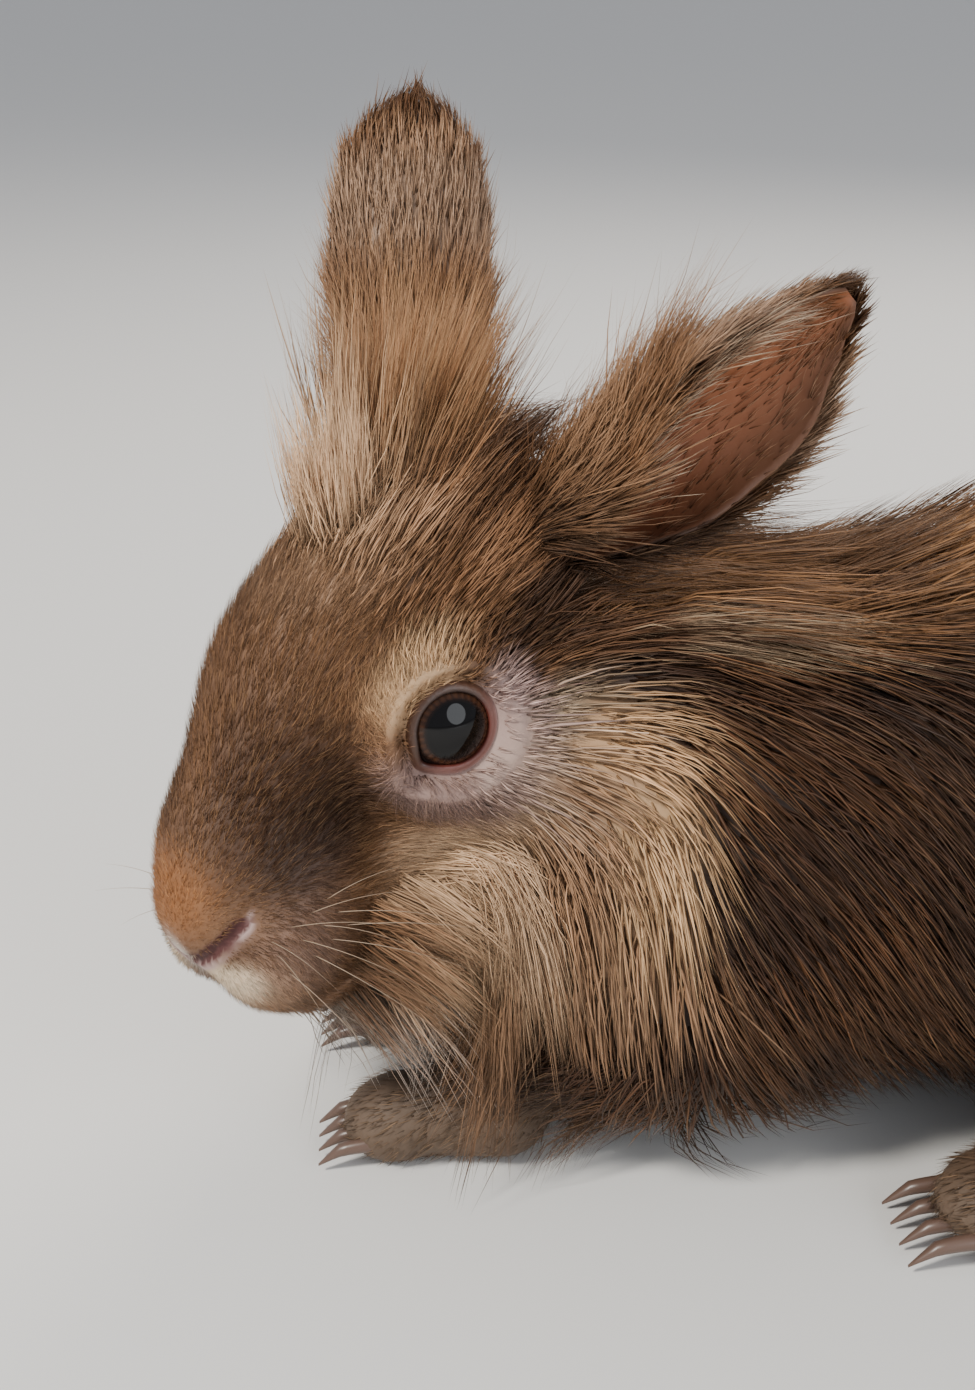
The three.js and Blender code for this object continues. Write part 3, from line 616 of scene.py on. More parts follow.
def tuft_arrays(paths, sides, ups, widths, thickness):
    """Points and faces of tufts, and how far along and across its tuft each corner lies.

    paths is (tufts, rings + 1, 3), the last of each its tip.
    """
    count, rings = paths.shape[0], paths.shape[1] - 1
    w = widths[:, :rings, None, None]
    rim = paths[:, :rings, None, :] + w * (
        sides[:, :rings, None, :] * SECTION[None, None, :, :1]
        + ups[:, :rings, None, :] * SECTION[None, None, :, 1:] * thickness
    )
    points = np.concatenate([rim.reshape(count, rings * 3, 3), paths[:, rings:, :]], 1)
    per = rings * 3 + 1
    last = per - 4
    ends = [[last + j, last + (j + 1) % 3, per - 1] for j in range(3)]
    faces = [[2, 1, 0], *ring_quads(rings, 3), *ends]
    flat = np.concatenate(faces)
    number = np.arange(count)[:, None]
    firsts = np.concatenate([[0], np.cumsum([len(face) for face in faces])[:-1]])
    along = np.minimum(flat // 3, rings) / rings
    across = np.where(flat == per - 1, 0.5, (flat % 3) / 2)
    corners = (flat + number * per).ravel()
    return points.reshape(-1, 3), (firsts + number * len(flat)).ravel(), corners, along, across


def coat_pieces(name, paths, widths, colours, thickness, roll=0.35, place=None, up=None):
    """Tufts along these paths, in as many pieces as their triangles need.

    colours are those of their roots, middles and tips.
    """
    count, rings = paths.shape[0], paths.shape[1] - 1
    ahead = unit(np.gradient(paths, axis=1))
    normal = comb(paths.reshape(-1, 3))[1].reshape(paths.shape) if up is None else up
    sides = unit(np.cross(normal, ahead))
    ups = np.cross(ahead, sides)
    twist = rng.normal(0, roll, (count, 1, 1))
    sides, ups = sides * np.cos(twist) + ups * np.sin(twist), ups * np.cos(twist) - sides * np.sin(twist)
    t = np.linspace(0, 1, rings + 1)[:, None]
    low, high = ramp(0.0, 0.45, t), ramp(0.5, 1.0, t)
    root, middle, tip = [colour[:, None] for colour in colours]
    shade = root * (1 - low) + middle * low
    shade = shade * (1 - high) + tip * high
    uv = unwrap(paths[:, 0] if place is None else place)
    triangles = 6 * rings - 2  # of one tuft: its base, six for each step, and three at the tip
    per_piece = MOST // triangles
    for part, start in enumerate(range(0, count, per_piece)):
        some = slice(start, start + per_piece)
        points, starts, corners, along, across = tuft_arrays(
            paths[some], sides[some], ups[some], widths[some], thickness)
        colour = np.concatenate([np.repeat(shade[some, :rings], 3, axis=1), shade[some, rings:]], 1)
        patch = np.stack([(across - 0.5) * PATCH, (along - 0.5) * PATCH], 1)
        bake = uv[some, None] + patch
        length = np.linalg.norm(np.diff(paths[some], axis=1), axis=2).sum(1)[:, None]
        strand = np.stack([across + rng.integers(0, STRANDS, length.shape), along * length / 10], -1)
        mesh_object(f"{name}_{part + 1}", points, starts, corners, coat_material,
                    uvs=bake, strand=strand, colours=colour.reshape(-1, 3))


def sample(density, count):
    """Random places on the skin, weighted by a density."""
    tri = np.concatenate([skin_quads[:, [0, 1, 2]], skin_quads[:, [0, 2, 3]]])
    a, b, c = [skin_points[corner] for corner in tri.T]
    area = np.linalg.norm(np.cross(b - a, c - a), axis=1) / 2
    weight = area * density((a + b + c) / 3)
    chosen = np.searchsorted(np.cumsum(weight) / weight.sum(), rng.random(count))
    chosen = np.minimum(chosen, len(tri) - 1)
    r1, r2 = np.sqrt(rng.random(count)), rng.random(count)
    shares = (1 - r1, r1 * (1 - r2), r1 * r2)
    return sum(corner[chosen] * share[:, None] for corner, share in zip((a, b, c), shares))


def combed(roots, flow, length, steps, height, hold, start, keen, gravity=0.0):
    """Paths from the roots that follow the lie of the coat at a height above the skin.

    hold 1 keeps a path at its height and 0 only keeps it from sinking below. start is how far it
    first stands up, gravity turns it down along its way, and keen is how closely it follows the lie.
    """
    _, normal = comb(roots)
    tangent = unit(flow - normal * (flow * normal).sum(1, keepdims=True))
    heading = unit(tangent * (1 - start) + normal * start)
    p = roots - normal * ROOT_DEEP
    path = [p]
    for k in range(1, steps + 1):
        p = p + heading * (length / steps)[:, None]
        d, g = comb(p)
        lack = height * (k / steps)**0.7 - d
        p = p + g * np.where(lack > 0, lack, lack * hold)[:, None]
        p[:, 2] = np.maximum(p[:, 2], FLOOR_GAP)
        new = unit(p - path[-1])
        ahead = lie(p)
        ahead = unit(ahead - g * (ahead * g).sum(1, keepdims=True))
        heading = unit(new * (1 - keen / steps) + ahead * (keen / steps) + DOWN * gravity / steps)
        path.append(p)
    return np.stack(path, 1)


# Materials


class Look:
    """A material, to which nodes are added and joined one by one."""

    def __init__(self, name, **values):
        self.material = bpy.data.materials.new(name)
        self.material.use_nodes = True
        self.tree = self.material.node_tree
        self.shader = self.tree.nodes["Principled BSDF"]
        self.set(self.shader, values)

    def set(self, node, values):
        for key, value in values.items():
            node.inputs[key.replace("_", " ")].default_value = value

    def add(self, kind, settings=(), **values):
        node = self.tree.nodes.new("ShaderNode" + kind)
        for key, value in settings:
            setattr(node, key, value)
        self.set(node, values)
        return node

    def join(self, source, output, target, into):
        self.tree.links.new(source.outputs[output], target.inputs[into])

    def coat_colour(self):
        return self.add("VertexColor", [("layer_name", "Coat")])


def coat_look():
    """The coat's colour with fine streaks along each tuft."""
    look = Look("coat", Roughness=0.5, Specular_IOR_Level=0.22)
    strand = look.add("UVMap", [("uv_map", "Strand")])
    stretch = look.add("Mapping", Scale=(9, 0.8, 1))
    noise = look.add("TexNoise", Scale=1, Detail=2)
    streak = look.add("MapRange", From_Min=0.3, From_Max=0.7, To_Min=0.74, To_Max=1.24)
    scale = look.add("VectorMath", [("operation", "SCALE")])
    look.join(strand, "UV", stretch, "Vector")
    look.join(stretch, "Vector", noise, "Vector")
    look.join(noise, "Fac", streak, "Value")
    look.join(look.coat_colour(), "Color", scale, 0)
    look.join(streak, "Result", scale, "Scale")
    look.join(scale, "Vector", look.shader, "Base Color")
    return look.material


def skin_look(name, roughness, grain, strength):
    """Skin with a fine grain, so many to the metre."""
    look = Look(name, Roughness=roughness)
    place = look.add("TexCoord")
    noise = look.add("TexNoise", Scale=grain, Detail=3)
    bump = look.add("Bump", Strength=strength, Distance=0.0004)
    look.join(look.coat_colour(), "Color", look.shader, "Base Color")
    look.join(place, "Object", noise, "Vector")
    look.join(noise, "Fac", bump, "Height")
    look.join(bump, "Normal", look.shader, "Normal")
    return look.material


def eye_look():
    look = Look("eye", Roughness=0.04, IOR=1.34)
    look.join(look.coat_colour(), "Color", look.shader, "Base Color")
    return look.material


def plain_look(name, colour, roughness):
    return Look(name, Base_Color=(*colour, 1), Roughness=roughness).material


coat_material = coat_look()
skin_material = skin_look("skin", 0.7, 900, 0.4)

# The skin

skin_points, skin_quads = surface(
    skin_field,
    lines((-74, -24, SKIN_COARSE), (-24, 50, SKIN_FINE), (50, 78, SKIN_COARSE)),
    lines((-136, -46, SKIN_FINE), (-46, 148, SKIN_COARSE)),
    lines((-4, 28, 2.6), (28, 122, SKIN_FINE), (122, 126, 2)),
)
comb = Comb(skin_field, (-90, -150, -8), (90, 156, 176))


def skin_colour(p):
    q = to_head(p)
    slit, crease, lips = from_face_lines(q)
    return layered(
        marking(p) * SKIN_SHADE,
        (LILAC * SKIN_SHADE, (1 - ramp(1.7, 2.2, slit)) * under_nostril(q)),
        (tone(74, 36, 34), 1 - ramp(0.98, 1.3, slit)),
        (tone(120, 92, 92), 1 - ramp(0.6, 1.4, crease)),
        (tone(60, 38, 32), 1 - ramp(0.7, 1.3, lips)),
    )


uv = unwrap(skin_points)[skin_quads]
wrapped = uv[:, :, 0].max(1) - uv[:, :, 0].min(1) > 0.5
uv[:, :, 0] = np.where(wrapped[:, None] & (uv[:, :, 0] < 0.5), uv[:, :, 0] + MAP_SPAN, uv[:, :, 0])
skin = face_object("skin", skin_points, skin_quads, skin_material, uvs=uv, colours=skin_colour(skin_points))
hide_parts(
    "head", "neck", "torso", "tail",
    *(f"{part}_{side}" for side in ("left", "right")
      for part in ("foreleg", "forepaw", "hindleg", "hindfoot")),
)

# Where the coat grows, and how densely


def seen(p):
    """1 on the side that the picture shows from near by, where the tufts are finer and denser."""
    paws = 40 * ramp(-58, -68, p[:, 1]) * ramp(40, 20, p[:, 2])
    left = ramp(-26, -4, p[:, 0] + 0.35 * (p[:, 2] - 80) + paws)
    return left * (1 - ramp(-6, 22, p[:, 1]))


def fine_share(p):
    """Density of the tufts beside that of the side that is seen."""
    return np.maximum(0.27 + 0.73 * seen(p), 0.42 * head_share(p))


def broad(p):
    """Width of the tufts beside that on the side that is seen."""
    return 1 + 1.4 * (1 - seen(p))


def bare(p):
    """0 where no tuft grows: eyes and their sockets, nostrils, the line of the mouth and the soles."""
    q = to_head(p)
    slit, crease, lips = from_face_lines(q)
    open_eye = ramp(1.0, 1.5, from_opening(q)) * ramp(8.6, 9.0, eye_distance(q))
    hole = ramp(0.95, 1.2, slit - 0.5 * under_nostril(q)) * ramp(0.6, 0.9, crease)
    return open_eye * hole * ramp(0.7, 1.2, lips) * (p[:, 2] > 1.6)


def paw_gap(p):
    """Millimetres from the paws, the hind feet and the free part of the forelegs."""
    legs = field(FORELEGS, p) + 12 * ramp(-62, -52, p[:, 1])
    return np.minimum(np.minimum(field(FOREPAWS, p), field(HINDFEET, p)), legs)


def scatter(amount, *shape):
    """Random factors round 1."""
    return np.exp(rng.normal(0, amount, shape))


def limited(middle, amount, low, high, count):
    """Random factors whose logarithms are kept between low and high."""
    return np.exp(np.clip(rng.normal(middle, amount, count), low, high))


def vary(c, amount):
    return c * scatter(amount, len(c), 1)


def blade_widths(width, roots, t, fullness, foot, amount):
    """Half widths of tufts from root to tip, foot wide at the root and widest at 0.3 of their length."""
    taper = (1 - t**fullness) * (foot + (1 - foot) * ramp(0, 0.3, t))
    return (width * broad(roots) * scatter(amount, len(roots)))[:, None] * taper / 2


def agouti(mid):
    """Tips vary from dark to pale, as in a banded coat."""
    pick = rng.random(len(mid))
    tip = blend(mid, mid * 0.45, ramp(0.45, 0.15, pick))
    return blend(tip, 0.5 * GOLD + mid, ramp(0.62, 0.95, pick) * 0.6)


# Short and middling coat on the skin


def tufts(name, count, density, length_of, width, steps, height_of, start, root=0.6, clump=0.35, keen=0.6):
    """Tufts that grow one by one. root is the shade of their roots, clump how far they swirl."""
    count = int(count * QUICK)
    roots = sample(lambda p: density(p) * bare(p) * fine_share(p), count)
    flow = lie(roots) + rng.normal(0, 0.16, (count, 3))
    swirl = np.stack([hash_noise(roots, 7, s) for s in (4, 5, 6)], 1) - 0.5
    flow = unit(flow + swirl * clump)
    length = length_of(roots) * limited(0, 0.18, -0.4, 0.3, count)
    height = height_of(roots) * rng.uniform(0.25, 1.1, count)
    paths = combed(roots, flow, length, steps, height, 0.6, start, keen)
    widths = blade_widths(width, roots, np.linspace(0, 1, steps + 1), 2.2, 0.75, 0.2)
    mid = vary(marking(roots), 0.2)
    coat_pieces(name, paths, widths, (mid * root, mid, agouti(mid)), 0.4)


def face_length(p):
    q = to_head(p)
    back = ramp(-48, 10, q[:, 1])
    near_eye = 1 - ramp(1, 8, from_opening(q))
    near_nose = 1 - ramp(1, 6, from_line(on_left(q), nostril))
    return (2.8 + 5.6 * back) * (1 - 0.4 * near_eye) * (1 - 0.35 * near_nose)


def face_density(p):
    front = 1.0 + 0.8 * ramp(0, -40, to_head(p)[:, 1])
    return head_share(p) * front * (1 + 1.2 * (1 - ramp(2, 8, from_lids(p))))


def behind_face(p):
    return ramp(-8, 6, to_head(p)[:, 1])


def body_share(p):
    return (1 - head_share(p)) * ramp(0.5, 5, paw_gap(p))


def body_length(p):
    front = ramp(-40, -80, p[:, 1])
    low = ramp(34, 8, p[:, 2])
    tail = 1 - ramp(0, 8, field(TAIL, p))
    return BODY_HAIR * (1 - 0.35 * front) * (1 - 0.55 * low) * (1 - 0.5 * tail)


def feet_length(p):
    return 4 + 3 * ramp(10, 22, p[:, 2])


def feet_density(p):
    return (1 - ramp(1.5, 5.5, paw_gap(p))) * (1 + 2.4 * (1 - seen(p)))


# Name, count, density, length, width, steps, height above the skin and how far they first stand up

tufts("fur_face", 45000, lambda p: face_density(p) * (1 - behind_face(p)), face_length, 0.27, 1,
      lambda p: 0.5 + 0.2 * face_length(p), 0.2, root=0.7)
tufts("fur_head", 11000, lambda p: face_density(p) * behind_face(p), face_length, 0.3, 2,
      lambda p: 0.5 + 0.22 * face_length(p), 0.25)
tufts("fur_round_eye", 3600, lambda p: 1 - ramp(4, 9, from_lids(p)), lambda p: np.full(len(p), 4.4),
      0.22, 1, lambda p: np.full(len(p), 1.1), 0.2, root=0.75)
tufts("fur_body", 14500, body_share, body_length, 0.37, 3, lambda p: body_depth(p) * 1.05, 0.4,
      clump=0.5, keen=1.5)
tufts("fur_feet", 12000, feet_density, feet_length, 0.42, 1, lambda p: 0.36 * feet_length(p), 0.3)

# Long locks: guides are combed first, and each lock's hairs run beside their guide


def zone(at, radii, edge=0.55):
    """The part of the head within an ellipsoid, on both sides, as a density."""
    return lambda p: spot(to_head(p), at, radii, edge)


def ruff_zone(p):
    return ramp(-18, -34, p[:, 1]) * (1 - head_share(p)) * ramp(2, 8, paw_gap(p))


def head_way(back, left, up):
    """A direction given in the head's frame, the same on both sides of the head."""
    def way(p):
        side = np.sign(to_head(p)[:, :1] + 1e-6)
        return np.concatenate([side * left, 0 * side + back, 0 * side + up], 1) @ HEAD_TURN.T
    return way


def splayed(p):
    """Up and back from the crown, and apart to both sides."""
    q = to_head(p)
    way = np.stack([q[:, 0] * 0.055, 0.75 + (q[:, 1] - 20) * 0.02, 0.75 + 0 * q[:, 2]], 1)
    return way @ HEAD_TURN.T


def near_guides(roots, guide_roots):
    """For each root one of the three guides that are nearest to it."""
    tree = KDTree(len(guide_roots))
    for i, point in enumerate(guide_roots):
        tree.insert(point, i)
    tree.balance()
    return np.array([tree.find_n(point, 3)[rng.integers(0, 3)][1] for point in roots])


def beside(roots, guide_roots, guides, t, tight, wave):
    """Hairs that run beside these guides, each of its own length and with a wave of its own."""
    count = len(roots)
    shift = roots - guide_roots
    far = np.linalg.norm(shift, axis=1, keepdims=True)
    shift = shift * np.minimum(1, LOCK_REACH / np.maximum(far, 1e-6))
    stretch = limited(-0.08, 0.22, -0.6, 0.2, count)[:, None, None]
    apart = 1 - tight * ramp(0, 1, t) ** 0.8
    out = guides[:, :1] + (guides - guides[:, :1]) * stretch + shift[:, None] * apart
    out[:, 0] = roots - (guide_roots - guides[:, 0])
    phase = rng.uniform(0, 2 * np.pi, (count, 1, 3))
    sway = np.sin(t * rng.uniform(3, 6, (count, 1, 3)) + phase) - np.sin(phase)
    out = out + sway * wave * t * rng.uniform(0.2, 1, (count, 1, 1))
    flat = out[:, 1:].reshape(-1, 3)
    d, g = comb(flat)
    flat = flat + g * np.maximum(LOCK_SKIN_GAP - d, 0)[:, None]
    flat[:, 2] = np.maximum(flat[:, 2], LOCK_FLOOR_GAP)
    out[:, 1:] = flat.reshape(out[:, 1:].shape)
    return out


def locks(name, count, guides, density, way, length, width, steps, height, gravity=0.0, hold=0.0, start=0.55,
          tight=0.45, wave=1.2, tip=TAN, tip_share=(0.1, 0.7), keen=0.5):
    """Long fur. tight is how far a lock draws together, wave how far its hairs wander."""
    count, guides = int(count * QUICK), max(int(guides * QUICK), 20)

    def dense(p):
        return density(p) * bare(p) * fine_share(p) * ramp(4.5, 6.5, from_lids(p))

    guide_roots = sample(dense, guides)
    flow = unit(way(guide_roots) + rng.normal(0, 0.12, (guides, 3)))
    lengths = length * limited(0, 0.22, -0.4, 0.25, guides)
    lengths = np.minimum(lengths * (0.8 + 0.2 * seen(guide_roots)), 6 + 0.9 * guide_roots[:, 2])
    heights = height * rng.uniform(0.15, 1.1, guides)
    paths = combed(guide_roots, flow, lengths, steps, heights, hold, start, keen, gravity)
    roots = sample(dense, count)
    near = near_guides(roots, guide_roots)
    t = np.linspace(0, 1, steps + 1)
    out = beside(roots, guide_roots[near], paths[near], t[:, None], tight, wave)
    widths = blade_widths(width, roots, t, 1.8, 0.7, 0.25)
    lock_shade = scatter(0.17, guides)[near][:, None]
    mid = vary(marking(roots), 0.12) * lock_shade
    ends = blend(mid, tip, rng.uniform(*tip_share, count))
    free = paw_gap(out[:, 1:].reshape(-1, 3)).reshape(count, steps).min(1) > PAW_GAP
    out, widths, mid, ends = out[free], widths[free], mid[free], ends[free]
    coat_pieces(name, out, widths, (mid * LOCK_ROOT, mid, ends), 0.35)


# Name, hairs, guides, where they grow, their way, length, width, steps and height above the skin

locks("fur_crown", 4200, 420, zone((0, 16, 27), (25, 20, 14)), head_way(0.95, 0.05, 0.45), 22, 0.26, 3, 4,
      start=0.35, hold=0.3, tip=BROWN)
locks("fur_forelock", 2600, 190, zone((-2, 20, 29), (19, 15, 12), 0.1), splayed, 23, 0.25, 4, 13,
      start=0.7, keen=0.25, tip=GOLD)
locks("fur_foretop", 1200, 110, zone((-2, 6, 29), (11, 8, 8)), head_way(0.65, 0.0, 0.8), 16, 0.22, 2, 10,
      start=0.7, keen=0.1, tip=SAND, tip_share=(0.2, 0.9))
locks("fur_temples", 2000, 200, zone((20, 16, 13), (9, 12, 11)), head_way(0.95, 0.15, 0.3), 20, 0.26, 3, 3.5,
      start=0.3, hold=0.4, keen=0.2, tip=BROWN)
locks("fur_cheeks", 8400, 620, zone((26, 11, -10), (16, 19, 15)), lie, 35, 0.26, 4, 8, gravity=0.2,
      start=0.3, hold=0.12, keen=2.0, tip=tone(232, 202, 164), tip_share=(0.2, 0.9))
locks("fur_fringe", 800, 90, zone((29, 14, -13), (12, 13, 12)), lie, 40, 0.24, 5, 13, gravity=0.5,
      start=0.5, keen=2.0, wave=3.0, tight=0.2, tip=GOLD, tip_share=(0.3, 0.9))
# The jowls' dark tips are partly darker hair and partly painted shade on the low cheek
locks("fur_jowls", 5600, 400, zone((17, -2, -28), (16, 22, 15)), lie, 29, 0.26, 3, 7, gravity=0.5,
      start=0.35, keen=1.6, tip=DARK, tip_share=(0.3, 0.9))
locks("fur_jaw", 3000, 260, zone((13, -19, -26), (12, 14, 10)), head_way(0.4, 0.35, -0.8), 25, 0.26, 3, 6,
      gravity=0.3, start=0.45, keen=0.3, tip=SAND)
locks("fur_beard", 3000, 220, zone((4, -17, -34), (13, 20, 11)), head_way(0.15, 0.1, -1.0), 25, 0.26, 3, 8,
      gravity=0.3, keen=0.2, tip=PALE, tip_share=(0.6, 1.0))
locks("fur_ruff", 8000, 460, ruff_zone, lie, 28, 0.3, 3, 7,
      gravity=0.2, hold=0.15, start=0.35, keen=1.5, tip=BROWN)

# Eyes

SIDES = {"left": np.array([1, 1, 1]), "right": np.array([-1, 1, 1])}
EYE_COLUMNS, EYE_ROWS = 96, 64
PUPIL, IRIS, IRIS_END = (32, 36), (33, 39), (39, 44)  # degrees from the middle, where each begins and is full
IRIS_STREAKS = 31
eye_material = eye_look()
lid_material = skin_look("lid", 0.42, 1500, 0.25)


def ball():
    """The points of the eyeball, whose front is +X: a pole, rings and the other pole."""
    theta = np.linspace(0, np.pi, EYE_ROWS + 1)[1:-1]
    phi = np.arange(EYE_COLUMNS) * 2 * np.pi / EYE_COLUMNS
    ring = np.stack([
        np.repeat(np.cos(theta), EYE_COLUMNS),
        np.outer(np.sin(theta), np.cos(phi)).ravel(),
        np.outer(np.sin(theta), np.sin(phi)).ravel(),
    ], 1)
    return np.concatenate([[[1, 0, 0]], ring, [[-1, 0, 0]]]) * EYE_RADIUS


def ball_faces():
    """The faces of the eyeball: a fan at each pole, and bands between its rings."""
    ring = [(i, (i + 1) % EYE_COLUMNS) for i in range(EYE_COLUMNS)]
    last = 1 + (EYE_ROWS - 2) * EYE_COLUMNS
    front = [[0, 1 + i, 1 + j] for i, j in ring]
    bands = ring_quads(EYE_ROWS - 1, EYE_COLUMNS)[:, [0, 3, 2, 1]] + 1
    return [*front, *bands, *([last + i, last + EYE_COLUMNS, last + j] for i, j in ring)]


def in_socket(points, side):
    """Points of the eye's own frame at the eye of this side."""
    flat = (points.reshape(-1, 3) @ EYE_AXES + EYE_AT) * SIDES[side]
    return from_head(flat).reshape(points.shape)


def turned_over(faces, side):
    """The faces as they are on the left, turned over on the right, where the points are mirrored."""
    return faces if side == "left" else [face[::-1] for face in faces]


def eyeball(side):
    points = ball()
    off = np.degrees(np.arccos(np.clip(points[:, 0] / EYE_RADIUS, -1, 1)))
    streak = 0.6 + 0.4 * np.sin(np.arctan2(points[:, 2], points[:, 1]) * IRIS_STREAKS)
    iris = blend(tone(34, 20, 15), tone(76, 48, 32), ramp(*IRIS, off) * streak)
    colour = layered(tone(6, 5, 6), (iris, ramp(*PUPIL, off)), (tone(20, 12, 10), ramp(*IRIS_END, off)))
    faces = turned_over(ball_faces(), side)
    eye = face_object(f"eyeball_{side}", in_socket(points, side), faces, eye_material,
                      slot="eye", colours=colour)
    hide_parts(f"eye_{side}")


# Lids: a soft rim round the opening, that runs from the ball over its edge and under the fur

LID_COLUMNS = 144
LID_PROFILE = [  # outward from the opening's edge, height above the ball, share of wetness
    (0.5, -0.3, 1.0), (0.12, 0.12, 1.0), (0.0, 0.4, 1.0), (0.12, 0.7, 0.8), (0.42, 0.92, 0.35),
    (0.9, 1.05, 0.1), (1.4, 1.05, 0.0), (2.0, 0.8, 0.0), (2.6, 0.3, 0.0), (3.0, -0.4, 0.0),
]
LID_HAIRS = {"left": (2400, 0.17), "right": (700, 0.3)}  # count and width


def round_opening(turn, outward, height):
    """Places by their angle round the opening, their way from its edge and their height above the ball."""
    angle = (opening_reach(turn) + outward) / EYE_RADIUS
    r = EYE_RADIUS + height
    return np.stack([
        r * np.cos(angle), r * np.sin(angle) * np.cos(turn), r * np.sin(angle) * np.sin(turn)], -1)


def lid(side):
    turn = np.arange(LID_COLUMNS) * 2 * np.pi / LID_COLUMNS
    lower = ramp(0.3, -0.6, np.sin(turn - math.radians(20)))
    rows, tones = [], []
    for outward, height, wet in LID_PROFILE:
        rows.append(round_opening(turn, outward, height))
        dry = blend(tone(118, 82, 74), tone(170, 138, 134), ramp(0.4, 1.6, outward))
        dry = blend(tone(92, 62, 46), dry, lower)
        tones.append(blend(dry, blend(tone(36, 22, 18), tone(84, 36, 27), lower), wet))
    quads = turned_over(ring_quads(len(LID_PROFILE), LID_COLUMNS)[:, ::-1], side)
    face_object(f"lid_{side}", in_socket(np.concatenate(rows), side), quads, lid_material,
                colours=np.concatenate(tones))


def lid_fur(side):
    """Short hair that grows away from the opening over the lids' edge."""
    hairs, width = LID_HAIRS[side]
    hairs = int(hairs * QUICK)
    turn = rng.uniform(0, 2 * np.pi, hairs)
    outward = rng.uniform(0.7, 4.6, hairs) ** 0.9
    above = ramp(-0.1, 0.55, np.sin(turn - BROW_TILT))
    corner = ramp(0.75, 1.0, np.cos(turn - math.radians(CORNER_ANGLE)))
    long = rng.uniform(1.8, 3.4, hairs) * (1 - 0.3 * corner)
    drift = 0.1 * rng.normal(0, 1, hairs) - 0.12 * np.sin(turn)
    rise = rng.uniform(0.25, 0.85, hairs)
    path = np.stack([
        round_opening(turn + drift * share, outward + long * share, 0.75 + rise * share)
        for share in (0, 0.5, 1)], 1)
    lilac = blend(PALE, LILAC, rng.uniform(0, 1, hairs))
    mid = vary(blend(lilac, blend(UMBER, GOLD, rng.uniform(0, 0.8, hairs)), above), 0.14)
    widths = width * np.array([1, 0.8, 0]) * scatter(0.2, hairs, 1) / 2
    coat_pieces(f"fur_lid_{side}", in_socket(path, side), widths, (mid * 0.75, mid, mid * 1.15), 0.5, 0.4)


for side in SIDES:
    eyeball(side)
for side in SIDES:
    lid(side)
    lid_fur(side)

# Ears

EAR_SHAPE = np.array([  # share of the length, half width, half angle of the arc
    (0, 7.5, 150), (0.14, 9, 138), (0.3, 11.5, 104), (0.5, 14, 76),
    (0.7, 13.4, 66), (0.86, 11.4, 58), (0.96, 7.4, 52), (1, 3.4, 46),
])
EARS = {  # root, way up and way of the opening, sizes, and where plume and fringe grow
    "left": dict(root=(16.5, 34, 18), up=(0.02, 0.75, 0.66), opening=(0.58, -0.33, -0.74),
                 length=49, bend=8, width=1, tip=0.55, plume=(0.2, 0.95), plume_end=0.45, fringe=(0.8, 1.02)),
    "right": dict(root=(-16.5, 34, 18), up=(-0.41, 0.02, 0.91), opening=(-0.96, -0.1, -0.28),
                  length=57, bend=0.9, width=0.88, tip=1, plume=(-0.8, 0.3), plume_end=0.15,
                  fringe=(-1.02, -0.8)),
}
EAR_RINGS, EAR_STEPS = 46, 33
EAR_SKIN = 1.1  # the ear's own wall, without its fur
EAR_FOOT = -0.2  # the ear starts this share of its length inside the head
FOOT_NARROWING = 2.4  # of its half width, for each length


def stations(t):
    """Half width and half angle of the ear at these shares of its length."""
    t = np.maximum(t, 0)
    i = np.clip(np.searchsorted(EAR_SHAPE[:, 0], t), 1, len(EAR_SHAPE) - 1)
    low, high = EAR_SHAPE[i - 1], EAR_SHAPE[i]
    share = (t - low[:, 0]) / (high[:, 0] - low[:, 0])
    share = ramp(0, 1, share) * 0.4 + share * 0.6
    return (low + (high - low) * share[:, None])[:, 1:].T


def ear_point(ear, t, across, offset):
    """A point of the ear's sheet. across runs from -1 to 1, offset is outwards from the middle."""
    z = unit(np.array(ear["up"], float))
    o = np.array(ear["opening"], float)
    o = unit(o - z * (o @ z))
    side = np.cross(o, z)
    half, angle = stations(t)
    half = half * ear["width"] * (1 + (ear["tip"] - 1) * ramp(0.6, 1, t))
    half = half * (1 + FOOT_NARROWING * np.minimum(t, 0))
    phi = np.radians(angle)
    radius = half / np.sin(np.minimum(phi, np.pi / 2))
    spine = from_head(np.array(ear["root"], float)[None])[0] + np.outer(t * ear["length"], z)
    spine = spine + np.outer(ear["bend"] * t * t, o)
    far = radius + offset
    alpha = phi * across
    return spine + (radius - far * np.cos(alpha))[:, None] * o + (far * np.sin(alpha))[:, None] * side


def ear_colour(p, t, across, inner):
    """inner is 0 on the back of the ear and 1 inside it."""
    back = layered(
        BROWN,
        (TAN, ramp(0.3, 0.7, hash_noise(p, 6, 3)) * 0.6),
        # Painted shadow at the foot of the ear's back, low where it meets the head and neck
        (DARK, ramp(0.45, 0.2, t) * ramp(25, 15, to_head(p)[:, 2]) * 0.85),
        (tone(168, 138, 114), ramp(0.4, 0.6, t) * ramp(0.88, 0.74, t) * 0.7),
        (UMBER, ramp(0.84, 0.93, t) * 0.9),
    )
    inside = layered(
        tone(116, 64, 36),
        (tone(138, 80, 46), ramp(0.1, 0.6, t)),
        (tone(96, 64, 44), ramp(0.35, 1.0, np.abs(across)) * 0.8),
    )
    return blend(back, inside, inner)


